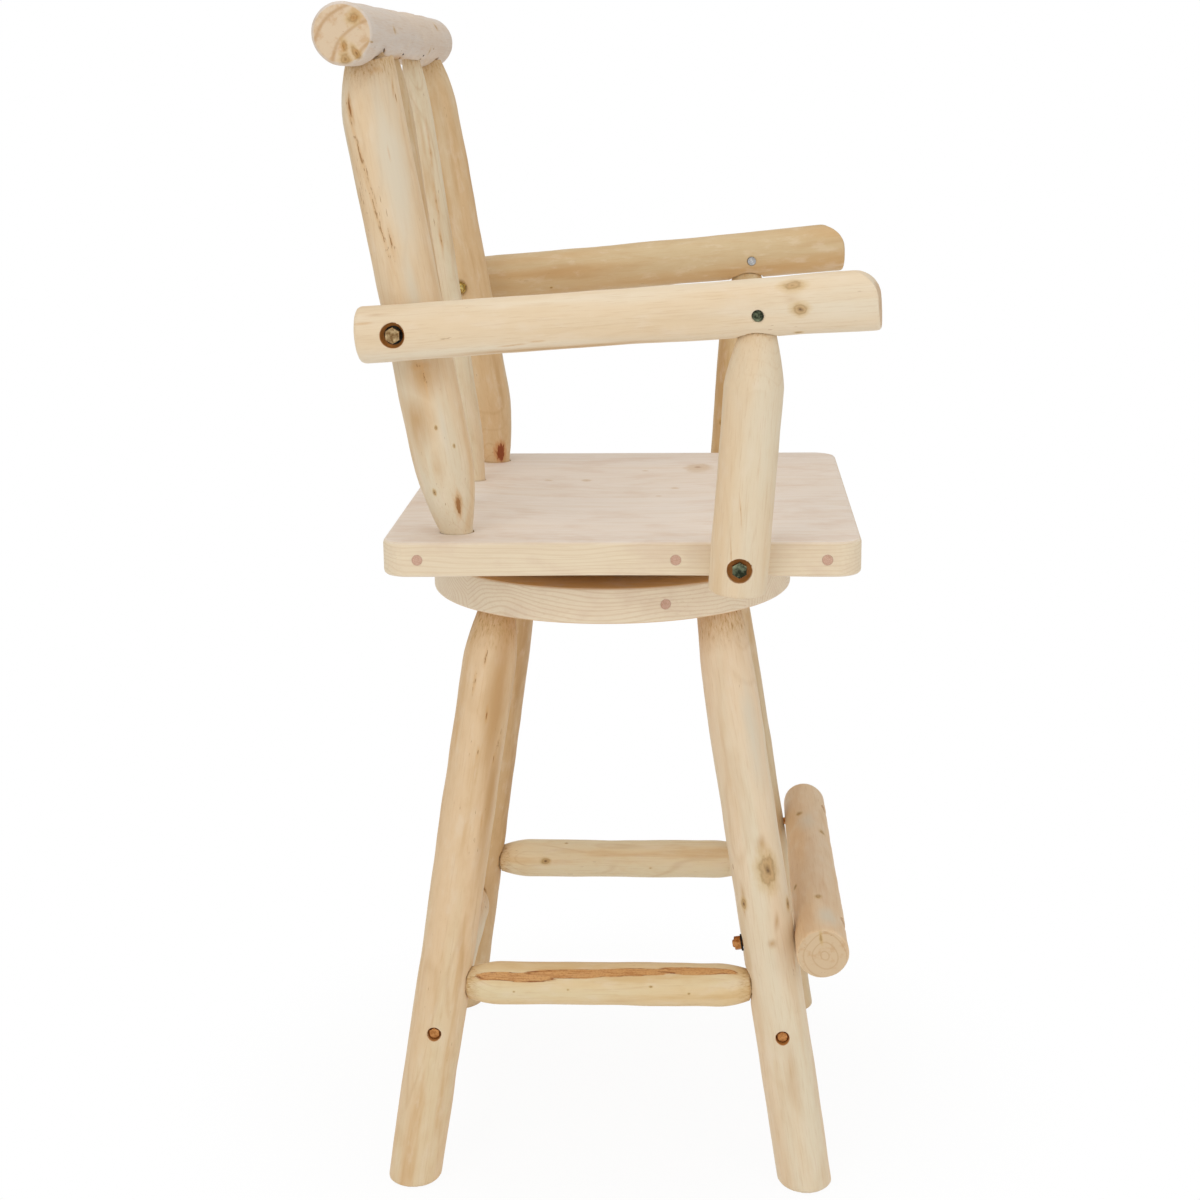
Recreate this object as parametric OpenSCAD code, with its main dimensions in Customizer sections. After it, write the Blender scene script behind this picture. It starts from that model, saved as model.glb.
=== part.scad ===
// Swivel bar stool made of peeled logs, with arms, a slatted back and a footrest.
// Frame: +Z up, floor at Z = 0, the swivel's axis on Z, the front of the stool towards -Y.
// "Right" is the sitter's right hand, towards -X. All sizes are in millimetres and degrees.

/* [Seat] */
// Height of the seat's rim above the floor
seat_height = 674; // [600:1:780]
// Width of the seat board, side to side
seat_width = 486; // [440:1:540]
// Depth of the seat board, front to back
seat_depth = 453; // [420:1:500]
// Thickness of the seat board
seat_thickness = 34; // [28:1:44]
// How far the seat's middle lies in front of the swivel's axis
seat_forward = 19; // [0:1:35]
// Radius of the seat's corners in plan
seat_corner_r = 25; // [12:1:45]
// Rounding of the seat's upper and lower edges
seat_edge_r = 4; // [1:0.5:7]
// Depth of the hollow shaped into the seat
dish_depth = 6; // [2:0.5:9]
// Width of the hollow shaped into the seat
dish_width = 330; // [240:5:350]
// Rise of the shallow arch cut under each side of the seat
seat_arch = 2.5; // [1:0.5:4]

/* [Round base board] */
// Diameter of the round board that the legs stand in
disc_d = 374; // [340:1:410]
// Thickness of the round board
disc_thickness = 36; // [30:1:44]
// Rounding of the round board's edges
disc_edge_r = 3; // [1:0.5:6]

/* [Swivel] */
// Height from the round board to the seat board
swivel_height = 24; // [22:1:30]
// Side of the square swivel plates
plate_side = 150; // [140:1:170]
// Thickness of the plates' steel
plate_t = 2.5; // [2:0.1:3]
// Rounding of the plates' corners
plate_corner_r = 12; // [4:1:20]
// Diameter of the circle that the balls run on
race_d = 110; // [90:1:116]
// Diameter of a bearing ball
ball_d = 10; // [8:0.5:11]
// Number of bearing balls
ball_count = 20; // [12:1:22]
// Diameter of the pin that holds the two plates together
pin_d = 20; // [14:1:26]
// Side of the square that the plate screws stand on
screw_spacing = 124; // [118:1:128]
// Diameter of a plate screw
screw_d = 5; // [4:0.5:6]
// Length of a plate screw's shank
screw_len = 22; // [16:1:25]

/* [Legs] */
// Diameter of a leg
leg_d = 56; // [48:1:64]
// Distance between the feet's middles, side to side
foot_spread_x = 426; // [380:1:470]
// Distance between the feet's middles, front to back
foot_spread_y = 400; // [360:1:440]
// Distance between the legs' middles under the round board, side to side
leg_top_spread_x = 222; // [205:1:232]
// Distance between the legs' middles under the round board, front to back
leg_top_spread_y = 222; // [205:1:232]
// Diameter of a front leg's neck where it meets the round board
front_leg_neck_d = 46; // [40:1:54]
// Diameter of a rear leg's neck where it meets the round board
rear_leg_neck_d = 38; // [36:1:54]
// Length over which a front leg's neck narrows
front_leg_neck_len = 100; // [40:1:120]
// Length over which a rear leg's neck narrows
rear_leg_neck_len = 60; // [40:1:120]
// Diameter of a leg's tenon
leg_tenon_d = 32; // [26:1:34]
// Length of a leg's tenon
leg_tenon_len = 26; // [20:1:28]
// Bevel around the bottom of a foot
foot_bevel = 4; // [1:0.5:7]

/* [Stretchers] */
// Height of the two side stretchers
side_stretcher_height = 200; // [190:1:230]
// Diameter of the two side stretchers
side_stretcher_d = 45; // [40:1:52]
// Height of the front and rear stretchers
cross_stretcher_height = 158; // [130:1:165]
// Diameter of the front and rear stretchers
cross_stretcher_d = 44; // [38:1:50]
// Diameter of a stretcher's tenon
stretcher_tenon_d = 24; // [20:1:26]
// Depth of a stretcher's tenon in the leg
stretcher_tenon_len = 20; // [14:1:23]
// Length over which a stretcher's end narrows
stretcher_taper_len = 34; // [20:1:50]

/* [Footrest] */
// Height of the footrest log's middle
footrest_height = 255; // [240:1:300]
// Diameter of the footrest log at its right end
footrest_right_d = 54; // [46:1:58]
// Diameter of the footrest log at its left end
footrest_left_d = 49; // [46:1:58]
// Length of the footrest log
footrest_len = 454; // [420:1:500]
// How deep the footrest log is hollowed where it sits on the front legs
footrest_saddle = 1; // [1:0.5:4]

/* [Back] */
// Diameter of a back post
post_d = 59; // [52:1:62]
// Distance from a back post's middle to the seat's side edge
post_inset_side = 50; // [42:1:60]
// Distance from the back posts' middles to the seat's rear edge
post_inset_rear = 68; // [60:1:80]
// Lean of the back, backwards from upright
back_lean = 9.3; // [5:0.1:13]
// Lean of the back posts outwards
back_splay = 2.1; // [0:0.1:5]
// Height of the top rail's middle above the seat
rail_rise = 462; // [420:1:500]
// Diameter of the top rail
rail_d = 56; // [54:1:64]
// Length of the top rail
rail_len = 590; // [560:1:640]
// Diameter of a back post's tenon at the seat
post_foot_tenon_d = 32; // [26:1:36]
// Length over which a back post narrows to the seat
post_foot_taper_len = 78; // [50:1:110]
// Diameter of the right back post's neck at the top rail
right_post_neck_d = 48; // [36:1:52]
// How far towards the front the right back post's neck is cut off its middle
right_post_neck_shift = 7; // [0:0.5:8]
// Diameter of the left back post's neck at the top rail
left_post_neck_d = 40; // [36:1:52]
// Length over which a back post narrows to the top rail
post_neck_len = 52; // [30:1:80]
// Diameter of a back post's tenon in the top rail
post_head_tenon_d = 28; // [22:1:30]
// Depth of the tenons in the seat board
seat_tenon_len = 24; // [16:1:26]
// Height of a tenon's end above the top rail's middle
rail_tenon_over = 8; // [2:1:12]
// Diameter of a back spindle
spindle_d = 30; // [26:1:36]
// Distance between the two back spindles
spindle_spacing = 150; // [120:1:200]
// How far the spindles' feet stand behind the back posts' feet
spindle_foot_back = 10; // [0:1:16]
// How far the spindles' heads stand in front of the top rail's middle
spindle_head_forward = 6; // [0:0.5:8]
// Diameter of a spindle's tenons
spindle_tenon_d = 20; // [16:1:22]
// Length over which a spindle narrows at each end
spindle_taper_len = 60; // [40:1:90]
// Diameter of a brad through the rail and a spindle's tenon
brad_d = 2; // [1.6:0.1:3]
// Angle of the brads below level, on the rail's front
brad_angle = 45; // [30:1:55]

/* [Arms] */
// Diameter of an arm at its rear end
arm_rear_d = 54; // [52:1:60]
// Diameter of an arm halfway along
arm_waist_d = 52; // [50:1:58]
// Diameter of an arm at its front end
arm_front_d = 56; // [52:1:60]
// Length of an arm
arm_len = 476; // [440:1:520]
// Height of the arm's middle above the seat, beside the back post
arm_rise = 198; // [180:1:230]
// Rise of the arms towards the front
arm_slope = 4.2; // [0:0.1:8]
// Spread of the arms outwards towards the front
arm_splay = 6; // [3:0.1:9]
// Depth of the saddle in the arm that takes the back post
arm_saddle = 10; // [6:0.5:14]
// Length of an arm behind the back post's middle
arm_tail = 42; // [36:1:65]
// How far an arm's rear bolt stands behind the back post's middle
arm_bolt_back = 5; // [0:1:7]
// Radius of the round-over on an arm's upper front corner
arm_nose_r = 27; // [12:1:34]

/* [Arm posts] */
// Diameter of an arm post
arm_post_d = 56; // [50:1:62]
// How far the arm posts stand in front of the seat's middle
arm_post_forward = 111; // [90:1:130]
// Lean of an arm post towards the front
arm_post_lean = 4.2; // [0:0.1:8]
// Depth of the rebate in an arm post that takes the seat's edge
arm_post_rebate = 8; // [4:0.5:12]
// Length of an arm post below the seat
arm_post_drop = 9; // [6:1:34]
// Length over which an arm post narrows under the arm
arm_post_taper_len = 50; // [40:1:90]
// Diameter of an arm post where it enters the arm
arm_post_neck_d = 33; // [32:1:44]
// Diameter of an arm post's tenon
arm_post_tenon_d = 28; // [22:1:30]

/* [Dowels] */
// Diameter of the dowels that pin the boards
dowel_d = 10; // [8:0.5:12]
// Length of a dowel
dowel_len = 46; // [30:1:60]
// Distance of the rear seat dowel from the seat's rear edge
dowel_inset_rear = 35; // [25:1:42]
// Distance of the front seat dowel from the seat's front edge
dowel_inset_front = 33; // [26:1:50]
// How far the middle seat dowel lies in front of the seat's middle
dowel_middle_forward = 52; // [20:1:75]
// How far the round board's dowels lie in front of the swivel's axis
disc_dowel_forward = 60; // [30:1:70]

/* [Fasteners] */
// Shank diameter of the large bolts
bolt_d = 8; // [6:0.5:9]
// Width across flats of the large bolts' heads and nuts
bolt_af = 13; // [12:0.5:15]
// Height of a large bolt's head
bolt_head_h = 5.3; // [4:0.1:7]
// Diameter of the sunk holes for the large bolts' heads
sink_d = 22; // [20:0.5:25]
// Depth of the sunk holes for the large bolts' heads
sink_depth = 9; // [7:0.5:12]
// Diameter of a washer
washer_d = 17; // [16:0.5:19]
// Thickness of a washer
washer_t = 1.6; // [1:0.1:2.5]
// Height of a plain nut
nut_h = 6.5; // [5:0.1:8]
// Diameter of a cap nut's dome
cap_d = 11.5; // [10:0.1:12]
// Height of a cap nut
cap_h = 13; // [11:0.5:15]
// Depth of a lag bolt's shank in the seat's edge
lag_depth = 42; // [25:1:55]
// Shank diameter of the stretcher bolts
small_bolt_d = 6; // [5:0.5:7]
// Width across flats of the stretcher bolts' heads
small_bolt_af = 10; // [9:0.5:11]
// Height of a stretcher bolt's head
small_head_h = 4; // [3:0.1:5]
// Diameter of the sunk holes for the stretcher bolts' heads
small_sink_d = 12.6; // [11.5:0.1:15]
// Depth of the sunk holes for the stretcher bolts' heads
small_sink_depth = 8; // [6:0.5:10]
// Depth of a stretcher bolt's shank in the stretcher's end
small_bolt_bite = 45; // [30:1:60]
// Diameter of a connector bolt's flat head
connector_head_d = 9.2; // [8.5:0.1:11]
// Diameter of a connector bolt's sleeve nut
sleeve_d = 8; // [7.5:0.1:9]
// Height of the connector bolt below the arm's middle
connector_drop = 5; // [0:0.5:8]

/* [Fits] */
// Radial gap around a glued tenon or a bolt's shank in wood
wood_gap = 0.15; // [0.05:0.01:0.3]
// Radial gap between the swivel pin and the upper plate
pin_gap = 0.05; // [0.02:0.01:0.1]
// Gap between a ball and its races or its cage
ball_gap = 0.2; // [0.1:0.05:0.3]
// Gap at the blind end of a mortise or a bolt hole
end_gap = 1; // [0.5:0.1:3]

/* [Hidden] */
$fn = 64;

RIGHT = -1;
LEFT = 1;
FRONT = -1;
REAR = 1;
SIDES = [RIGHT, LEFT];
// A little more than nothing, so that a cut runs clear of a face
OVER = 1;
// Longer than any piece, for cutting planes
FAR = 2000;
// Turns about a piece's own axis, for along()
SIDE_TURN = 90;
CORNER_TURN = 45;

// Colours
LOG = [0.88, 0.77, 0.60];
BOARD = [0.91, 0.84, 0.74];
PLUG = [0.80, 0.62, 0.50];
ZINC = [0.62, 0.52, 0.26];
DARK_STEEL = [0.20, 0.18, 0.16];
BRIGHT_STEEL = [0.75, 0.76, 0.78];
BRASS = [0.80, 0.66, 0.25];

// Levels, from the seat down
seat_bottom = seat_height - seat_thickness;
seat_mid = seat_height - seat_thickness / 2;
disc_top = seat_bottom - swivel_height;
disc_bottom = disc_top - disc_thickness;
race_level = disc_top + swivel_height / 2;

// Plan of the seat
seat_side = seat_width / 2;
seat_front = -seat_forward - seat_depth / 2;
seat_rear = -seat_forward + seat_depth / 2;

// Small geometry helpers

function unit(v) = v / norm(v);

// Draws its children with their Z axis along the way from a to b, starting at a.
// A turn about that way keeps a round face's seam off the places where level cuts cross it.
module along(a, b, turn = 0) {
  d = b - a;
  translate(a)
    rotate([0, acos(d.z / norm(d)), atan2(d.y, d.x)])
      rotate(turn)
        children();
}

// How strongly a hand-cut neck bulges: 1 is a plain cone
SOFT_NECK = 1.7;
PLAIN_NECK = 1.15;

// Points [radius, height] of a turned end that narrows from r0 to r1
function narrowing(z0, r0, z1, r1, bend = SOFT_NECK, steps = 6) = [
  for (i = [0 : steps])
    let (t = i / steps)
    [r0 + (r1 - r0) * pow(t, bend), z0 + (z1 - z0) * t]
];

// Points [radius, height] of a rounded edge of radius c, from the end face out to the side
function rounded_end(z0, r, c, steps = 3) = [
  for (i = [0 : steps])
    let (a = 90 * i / steps)
    [r - c + c * sin(a), z0 + c * (1 - cos(a))]
];

function reversed(list) = [for (i = [len(list) - 1 : -1 : 0]) list[i]];

// A turned solid from its outline points [radius, height], closed along the axis
module turned(points) {
  low = points[0][1];
  high = points[len(points) - 1][1];
  rotate_extrude()
    polygon(concat([[0, low]], points, [[0, high]]));
}

// A bar of diameter d from a to b, longer than that by over at each end
module rod(a, b, d, over = 0) {
  length = norm(b - a);
  along(a, b)
    translate([0, 0, -over])
      cylinder(h = length + 2 * over, d = d);
}

// A hexagonal prism standing on its own origin
module hex_prism(af, h) {
  cylinder(h = h, d = af / cos(30), $fn = 6);
}

// A plain log along +Z with rounded ends
module log_bar(length, d_start, d_end, round_r) {
  turned(concat(
    rounded_end(0, d_start / 2, round_r),
    [for (p = reversed(rounded_end(0, d_end / 2, round_r))) [p[0], length - p[1]]]
  ));
}

// Half outline [reach, height] of a board's edge with rounded upper and lower corners
function edge_outline(reach, thickness, r) = concat(
  rounded_end(0, reach, r),
  [for (p = reversed(rounded_end(0, reach, r))) [p[0], thickness - p[1]]]
);

// A board lying on Z = 0 with round corners in plan and rounded edges all the way round
module rounded_board(size_x, size_y, thickness, corner_r, edge_r) {
  in_x = size_x / 2 - corner_r;
  in_y = size_y / 2 - corner_r;
  hull()
    for (x = [-in_x, in_x], y = [-in_y, in_y])
      translate([x, y, 0])
        turned(edge_outline(corner_r, thickness, edge_r), $fn = 32);
}

// Flat steel plate with round corners, lying on Z = 0
module steel_plate() {
  in_xy = plate_side / 2 - plate_corner_r;
  linear_extrude(plate_t) {
    square([plate_side, 2 * in_xy], center = true);
    square([2 * in_xy, plate_side], center = true);
    for (x = [-in_xy, in_xy], y = [-in_xy, in_xy])
      translate([x, y])
        circle(plate_corner_r);
  }
}

// Places its children at the four plate screws
module at_plate_screws() {
  for (x = [-1, 1], y = [-1, 1])
    translate([x * screw_spacing / 2, y * screw_spacing / 2, 0])
      children();
}

// Legs: each stands on its foot's middle and leans in to the round board

function foot_point(side, end) = [side * foot_spread_x / 2, end * foot_spread_y / 2, 0];

function leg_top_point(side, end) =
  [side * leg_top_spread_x / 2, end * leg_top_spread_y / 2, disc_bottom];

function leg_at(side, end, z) =
  foot_point(side, end) + (leg_top_point(side, end) - foot_point(side, end)) * z / disc_bottom;

function leg_way(side, end) = unit(leg_top_point(side, end) - foot_point(side, end));

// Distance from a leg's middle to its surface, going along a unit vector
function leg_reach(side, end, way) =
  leg_d / 2 / sqrt(1 - pow(leg_way(side, end) * way, 2));

module leg_log(side, end, neck_d, neck_len) {
  foot = foot_point(side, end);
  top = leg_top_point(side, end);
  length = norm(top - foot);
  bevel_top = 2 * leg_d;
  intersection() {
    along(foot, top, SIDE_TURN)
      turned(concat(
        [[leg_d / 2, -leg_d]],
        narrowing(length - neck_len, leg_d / 2, length, neck_d / 2),
        [[neck_d / 2, length + leg_d]]
      ));
    translate([foot.x, foot.y, 0])
      union() {
        cylinder(h = bevel_top, r1 = leg_d / 2 - foot_bevel, r2 = leg_d / 2 - foot_bevel + bevel_top);
        translate([0, 0, bevel_top])
          cylinder(h = disc_bottom - bevel_top, d = FAR);
      }
  }
}

module leg_tenon(side, end, gap = 0, end_space = 0) {
  foot = foot_point(side, end);
  top = leg_top_point(side, end);
  along(foot, top, SIDE_TURN)
    translate([0, 0, norm(top - foot) - leg_tenon_d / 2])
      cylinder(h = leg_tenon_d / 2 + leg_tenon_len + end_space, d = leg_tenon_d + 2 * gap);
}

module leg(side, end) {
  neck_d = end == FRONT ? front_leg_neck_d : rear_leg_neck_d;
  neck_len = end == FRONT ? front_leg_neck_len : rear_leg_neck_len;
  difference() {
    union() {
      leg_log(side, end, neck_d, neck_len);
      leg_tenon(side, end);
    }
    stretcher_form(side_stretcher_ends(side), side_stretcher_d, wood_gap, end_gap);
    stretcher_form(cross_stretcher_ends(end), cross_stretcher_d, wood_gap, end_gap);
    stretcher_bolt_hole(side, end);
    if (end == FRONT)
      footrest_bolt_hole(side);
  }
}

// Stretchers: a side stretcher runs front to back, a cross stretcher from side to side

function side_stretcher_ends(side) = [
  leg_at(side, FRONT, side_stretcher_height),
  leg_at(side, REAR, side_stretcher_height)
];

function cross_stretcher_ends(end) = [
  leg_at(RIGHT, end, cross_stretcher_height),
  leg_at(LEFT, end, cross_stretcher_height)
];

// Width of the shoulder around a stretcher's tenon
stretcher_shoulder = 4;
stretcher_neck_d = stretcher_tenon_d + 2 * stretcher_shoulder;
// How far a stretcher's narrowed end is let into the leg
stretcher_let_in = 3;

// A stretcher between two legs' middles, narrowed at both ends, with a tenon in each leg
module stretcher_form(ends, d, gap = 0, end_space = 0) {
  length = norm(ends[1] - ends[0]);
  reach = leg_reach(RIGHT, FRONT, unit(ends[1] - ends[0]));
  shoulder = reach - stretcher_let_in;
  tip = reach - stretcher_tenon_len - end_space;
  neck = narrowing(
    shoulder + stretcher_taper_len, d / 2 + gap, shoulder, stretcher_neck_d / 2 + gap
  );
  tenon_r = stretcher_tenon_d / 2 + gap;
  half = concat([[tenon_r, tip], [tenon_r, shoulder]], reversed(neck));
  along(ends[0], ends[1])
    turned(concat(half, [for (p = reversed(half)) [p[0], length - p[1]]]));
}

module side_stretcher(side) {
  stretcher_form(side_stretcher_ends(side), side_stretcher_d);
}

module cross_stretcher(end) {
  difference() {
    stretcher_form(cross_stretcher_ends(end), cross_stretcher_d);
    for (side = SIDES)
      stretcher_bolt_hole(side, end);
  }
}

// Distance from the middle plane to the seat of a stretcher bolt's head
function stretcher_bolt_seat(side, end) =
  abs(leg_at(side, end, cross_stretcher_height).x) + leg_reach(side, end, [1, 0, 0]) - small_sink_depth;

// Distance from the middle plane to a cross stretcher's tenon end
function cross_tenon_end(side, end) =
  abs(leg_at(side, end, cross_stretcher_height).x) - leg_reach(side, end, [1, 0, 0]) + stretcher_tenon_len;

// Draws its children with +Z pointing out of a leg's side, from the bolt head's seat
module at_stretcher_bolt(side, end) {
  p = leg_at(side, end, cross_stretcher_height);
  translate([side * stretcher_bolt_seat(side, end), p.y, p.z])
    rotate([0, side * 90, 0])
      children();
}

function stretcher_bolt_len(side, end) =
  stretcher_bolt_seat(side, end) - cross_tenon_end(side, end) + small_bolt_bite;

module stretcher_bolt_hole(side, end) {
  length = stretcher_bolt_len(side, end) + end_gap;
  at_stretcher_bolt(side, end) {
    translate([0, 0, -length])
      cylinder(h = length + OVER, d = small_bolt_d + 2 * wood_gap);
    cylinder(h = leg_d / 2, d = small_sink_d);
  }
}

module stretcher_bolt(side, end) {
  length = stretcher_bolt_len(side, end);
  at_stretcher_bolt(side, end) {
    translate([0, 0, -length])
      bolt_shank(length, small_bolt_d);
    hex_head(small_bolt_af, small_head_h);
  }
}

module stretcher_bolts() {
  color(ZINC)
    for (side = SIDES, end = [FRONT, REAR])
      stretcher_bolt(side, end);
}

// Share of a bolt's diameter that its tip is bevelled by
TIP_BEVEL = 1 / 8;

// A bolt's shank from its bevelled tip at Z = 0 up to the head
module bolt_shank(length, d) {
  bevel = d * TIP_BEVEL;
  turned([[d / 2 - bevel, 0], [d / 2, bevel], [d / 2, length]]);
}

// Share of a hex head's width across flats that stays flat on top, and the slope around it
HEAD_FLAT = 0.95;
HEAD_SLOPE = 30;

// A hex head whose corners are turned off at the top
module hex_head(af, h) {
  flat_r = af / 2 * HEAD_FLAT;
  intersection() {
    hex_prism(af, h);
    turned([[af, 0], [af, h - (af - flat_r) * tan(HEAD_SLOPE)], [flat_r, h]]);
  }
}

// Footrest: a log across the front of the front legs, square to their lean

function footrest_way(side) =
  let (d = leg_way(side, FRONT)) unit([0, -d.z, d.y]);

footrest_offset = leg_d / 2 + (footrest_right_d + footrest_left_d) / 4 - footrest_saddle;

function footrest_leg_point(side) =
  leg_at(side, FRONT, footrest_height - footrest_way(side).z * footrest_offset);

function footrest_point(side) =
  footrest_leg_point(side) + footrest_way(side) * footrest_offset;

// Depth of the flat that a washer needs on a round log
function flat_depth(log_d, washer) = log_d / 2 - sqrt(pow(log_d / 2, 2) - pow(washer / 2, 2));

footrest_flat = flat_depth(leg_d, washer_d + OVER);
// Rounding of the footrest log's ends
footrest_end_r = 4;

module footrest_log() {
  color(LOG)
    difference() {
      translate([-footrest_len / 2, footrest_point(LEFT).y, footrest_height])
        rotate([0, 90, 0])
          log_bar(footrest_len, footrest_right_d, footrest_left_d, footrest_end_r);
      for (side = SIDES) {
        rod(foot_point(side, FRONT), leg_top_point(side, FRONT), leg_d + 2 * wood_gap);
        footrest_bolt_hole(side);
      }
    }
}

// Radius of the footrest log where a front leg crosses it
function footrest_r_at(side) =
  let (share = 1 / 2 + footrest_leg_point(side).x / footrest_len)
  (footrest_right_d + (footrest_left_d - footrest_right_d) * share) / 2;

// The outer end of a footrest bolt's run is its head's seat, the inner end the washer's
function footrest_bolt_seat(side) =
  footrest_point(side) + footrest_way(side) * (footrest_r_at(side) - sink_depth);

function footrest_nut_seat(side) =
  footrest_leg_point(side) - footrest_way(side) * (leg_d / 2 - footrest_flat);

module footrest_bolt_hole(side) {
  rod(footrest_nut_seat(side), footrest_bolt_seat(side), bolt_d + 2 * wood_gap, OVER);
  along(footrest_bolt_seat(side), footrest_bolt_seat(side) + footrest_way(side))
    cylinder(h = footrest_right_d / 2, d = sink_d);
  along(footrest_nut_seat(side), footrest_nut_seat(side) - footrest_way(side))
    cylinder(h = leg_d / 2, d = washer_d + OVER);
}

// Length of bolt that shows past a footrest nut
bolt_end_out = 2;

module footrest_bolts() {
  color(ZINC)
    for (side = SIDES) {
      tip = footrest_nut_seat(side) - footrest_way(side) * (washer_t + nut_h + bolt_end_out);
      seat = footrest_bolt_seat(side);
      along(tip, seat) {
        bolt_shank(norm(seat - tip), bolt_d);
        translate([0, 0, norm(seat - tip)])
          hex_head(bolt_af, bolt_head_h);
      }
    }
}

// A flat washer from its own origin up
module washer() {
  difference() {
    cylinder(h = washer_t, d = washer_d);
    translate([0, 0, -OVER])
      cylinder(h = washer_t + 2 * OVER, d = bolt_d + 2 * wood_gap);
  }
}

module footrest_washers() {
  color(DARK_STEEL)
    for (side = SIDES)
      along(footrest_nut_seat(side), footrest_nut_seat(side) - footrest_way(side))
        washer();
}

module footrest_nuts() {
  color(ZINC)
    for (side = SIDES)
      along(footrest_nut_seat(side), footrest_nut_seat(side) - footrest_way(side))
        translate([0, 0, washer_t])
          difference() {
            hex_head(bolt_af, nut_h);
            translate([0, 0, -OVER])
              cylinder(h = nut_h + 2 * OVER, d = bolt_d + 2 * wood_gap);
          }
}

// Round base board

module disc_solid() {
  translate([0, 0, disc_bottom])
    turned(edge_outline(disc_d / 2, disc_thickness, disc_edge_r));
}

module disc_dowel_rods(gap = 0, end_space = 0) {
  for (side = SIDES)
    rod(
      [side * (disc_rim_x - dowel_len - end_space), -disc_dowel_forward, disc_mid],
      [side * disc_d, -disc_dowel_forward, disc_mid],
      dowel_d + 2 * gap
    );
}

disc_mid = disc_bottom + disc_thickness / 2;
disc_rim_x = sqrt(pow(disc_d / 2, 2) - pow(disc_dowel_forward, 2));

module base_disc() {
  color(BOARD)
    difference() {
      disc_solid();
      for (side = SIDES, end = [FRONT, REAR])
        leg_tenon(side, end, wood_gap, end_gap);
      disc_dowel_rods(wood_gap, end_gap);
      translate([0, 0, disc_top - screw_len + plate_t - end_gap])
        at_plate_screws()
          cylinder(h = screw_len, d = screw_d + 2 * wood_gap);
      translate([0, 0, disc_top - pin_flange_h - end_gap])
        cylinder(h = pin_flange_h + 2 * end_gap, d = pin_recess_d);
    }
}

module disc_dowels() {
  color(PLUG)
    intersection() {
      disc_dowel_rods();
      disc_solid();
    }
}

// Swivel: two plates with a ball race between them, held together by a hollow pin

// Widths of the races and of the cage beside the balls
race_wall = 3;
cage_wall = 2;
race_half_w = ball_d / 2 + race_wall;
race_face_gap = 3;
race_h = (swivel_height - race_face_gap) / 2 - plate_t;
cage_t = 1.6;
cage_half_w = ball_d / 2 + cage_wall;
// The pin is a rivet of thick tube with a flange at each end
pin_flange_h = 3;
pin_flange_w = 6;
pin_flange_gap = 2;
pin_wall = 3;
pin_head_gap = 0.3;
pin_flange_d = pin_d + 2 * pin_flange_w;
pin_recess_d = pin_flange_d + 2 * pin_flange_gap;
pin_bore_d = pin_d - 2 * pin_wall;

// One plate with its race, lying on Z = 0 with the race on top
module swivel_plate() {
  difference() {
    steel_plate();
    translate([0, 0, -OVER])
      cylinder(h = plate_t + 2 * OVER, d = pin_d + 2 * pin_gap);
    translate([0, 0, -OVER])
      at_plate_screws()
        cylinder(h = plate_t + 2 * OVER, d = screw_d + 2 * wood_gap);
  }
  translate([0, 0, plate_t])
    rotate_extrude()
      difference() {
        translate([race_d / 2 - race_half_w, 0])
          square([2 * race_half_w, race_h]);
        translate([race_d / 2, swivel_height / 2 - plate_t])
          circle(ball_d / 2 + ball_gap);
      }
}

module swivel_lower_plate() {
  color(DARK_STEEL)
    translate([0, 0, disc_top])
      swivel_plate();
}

module swivel_upper_plate() {
  color(DARK_STEEL)
    translate([0, 0, seat_bottom])
      mirror([0, 0, 1])
        swivel_plate();
}

module swivel_pin() {
  low = disc_top - pin_flange_h;
  high = seat_bottom + pin_head_gap + pin_flange_h;
  color(BRIGHT_STEEL)
    difference() {
      turned([
        [pin_flange_d / 2, low],
        [pin_flange_d / 2, disc_top],
        [pin_d / 2, disc_top],
        [pin_d / 2, seat_bottom + pin_head_gap],
        [pin_flange_d / 2, seat_bottom + pin_head_gap],
        [pin_flange_d / 2, high]
      ]);
      translate([0, 0, low - OVER])
        cylinder(h = high - low + 2 * OVER, d = pin_bore_d);
    }
}

module at_balls() {
  for (i = [0 : ball_count - 1])
    rotate(i * 360 / ball_count)
      translate([race_d / 2, 0, race_level])
        children();
}

module bearing_balls() {
  color(BRIGHT_STEEL)
    at_balls()
      sphere(d = ball_d);
}

module ball_cage() {
  color(DARK_STEEL)
    difference() {
      translate([0, 0, race_level - cage_t / 2])
        rotate_extrude()
          translate([race_d / 2 - cage_half_w, 0])
            square([2 * cage_half_w, cage_t]);
      at_balls()
        cylinder(h = 2 * cage_t, d = ball_d + 2 * ball_gap, center = true);
    }
}

screw_head_h = 3;
screw_head_r = screw_d;
// Radius of the flat on a pan head, and length and width of its crossed recess
screw_crown_r = 0.7 * screw_d;
recess_len = 1.1 * screw_d;
recess_w = 0.2 * screw_d;
screw_tip_r = 0.3;

// A pan-head screw with a crossed recess; its head stands on Z = 0 and its shank goes down
module plate_screw() {
  difference() {
    turned([[screw_head_r, 0], [screw_head_r, screw_head_h / 2], [screw_crown_r, screw_head_h]]);
    for (turn = [0, 90])
      rotate(turn)
        translate([0, 0, screw_head_h])
          cube([recess_len, recess_w, screw_head_h], center = true);
  }
  translate([0, 0, -screw_len])
    turned([[screw_tip_r, 0], [screw_d / 2, screw_d], [screw_d / 2, screw_len + screw_head_h / 4]]);
}

module lower_plate_screws() {
  color(ZINC)
    translate([0, 0, disc_top + plate_t])
      at_plate_screws()
        plate_screw();
}

module upper_plate_screws() {
  color(ZINC)
    translate([0, 0, seat_bottom - plate_t])
      mirror([0, 0, 1])
        at_plate_screws()
          plate_screw();
}

// Seat board

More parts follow.
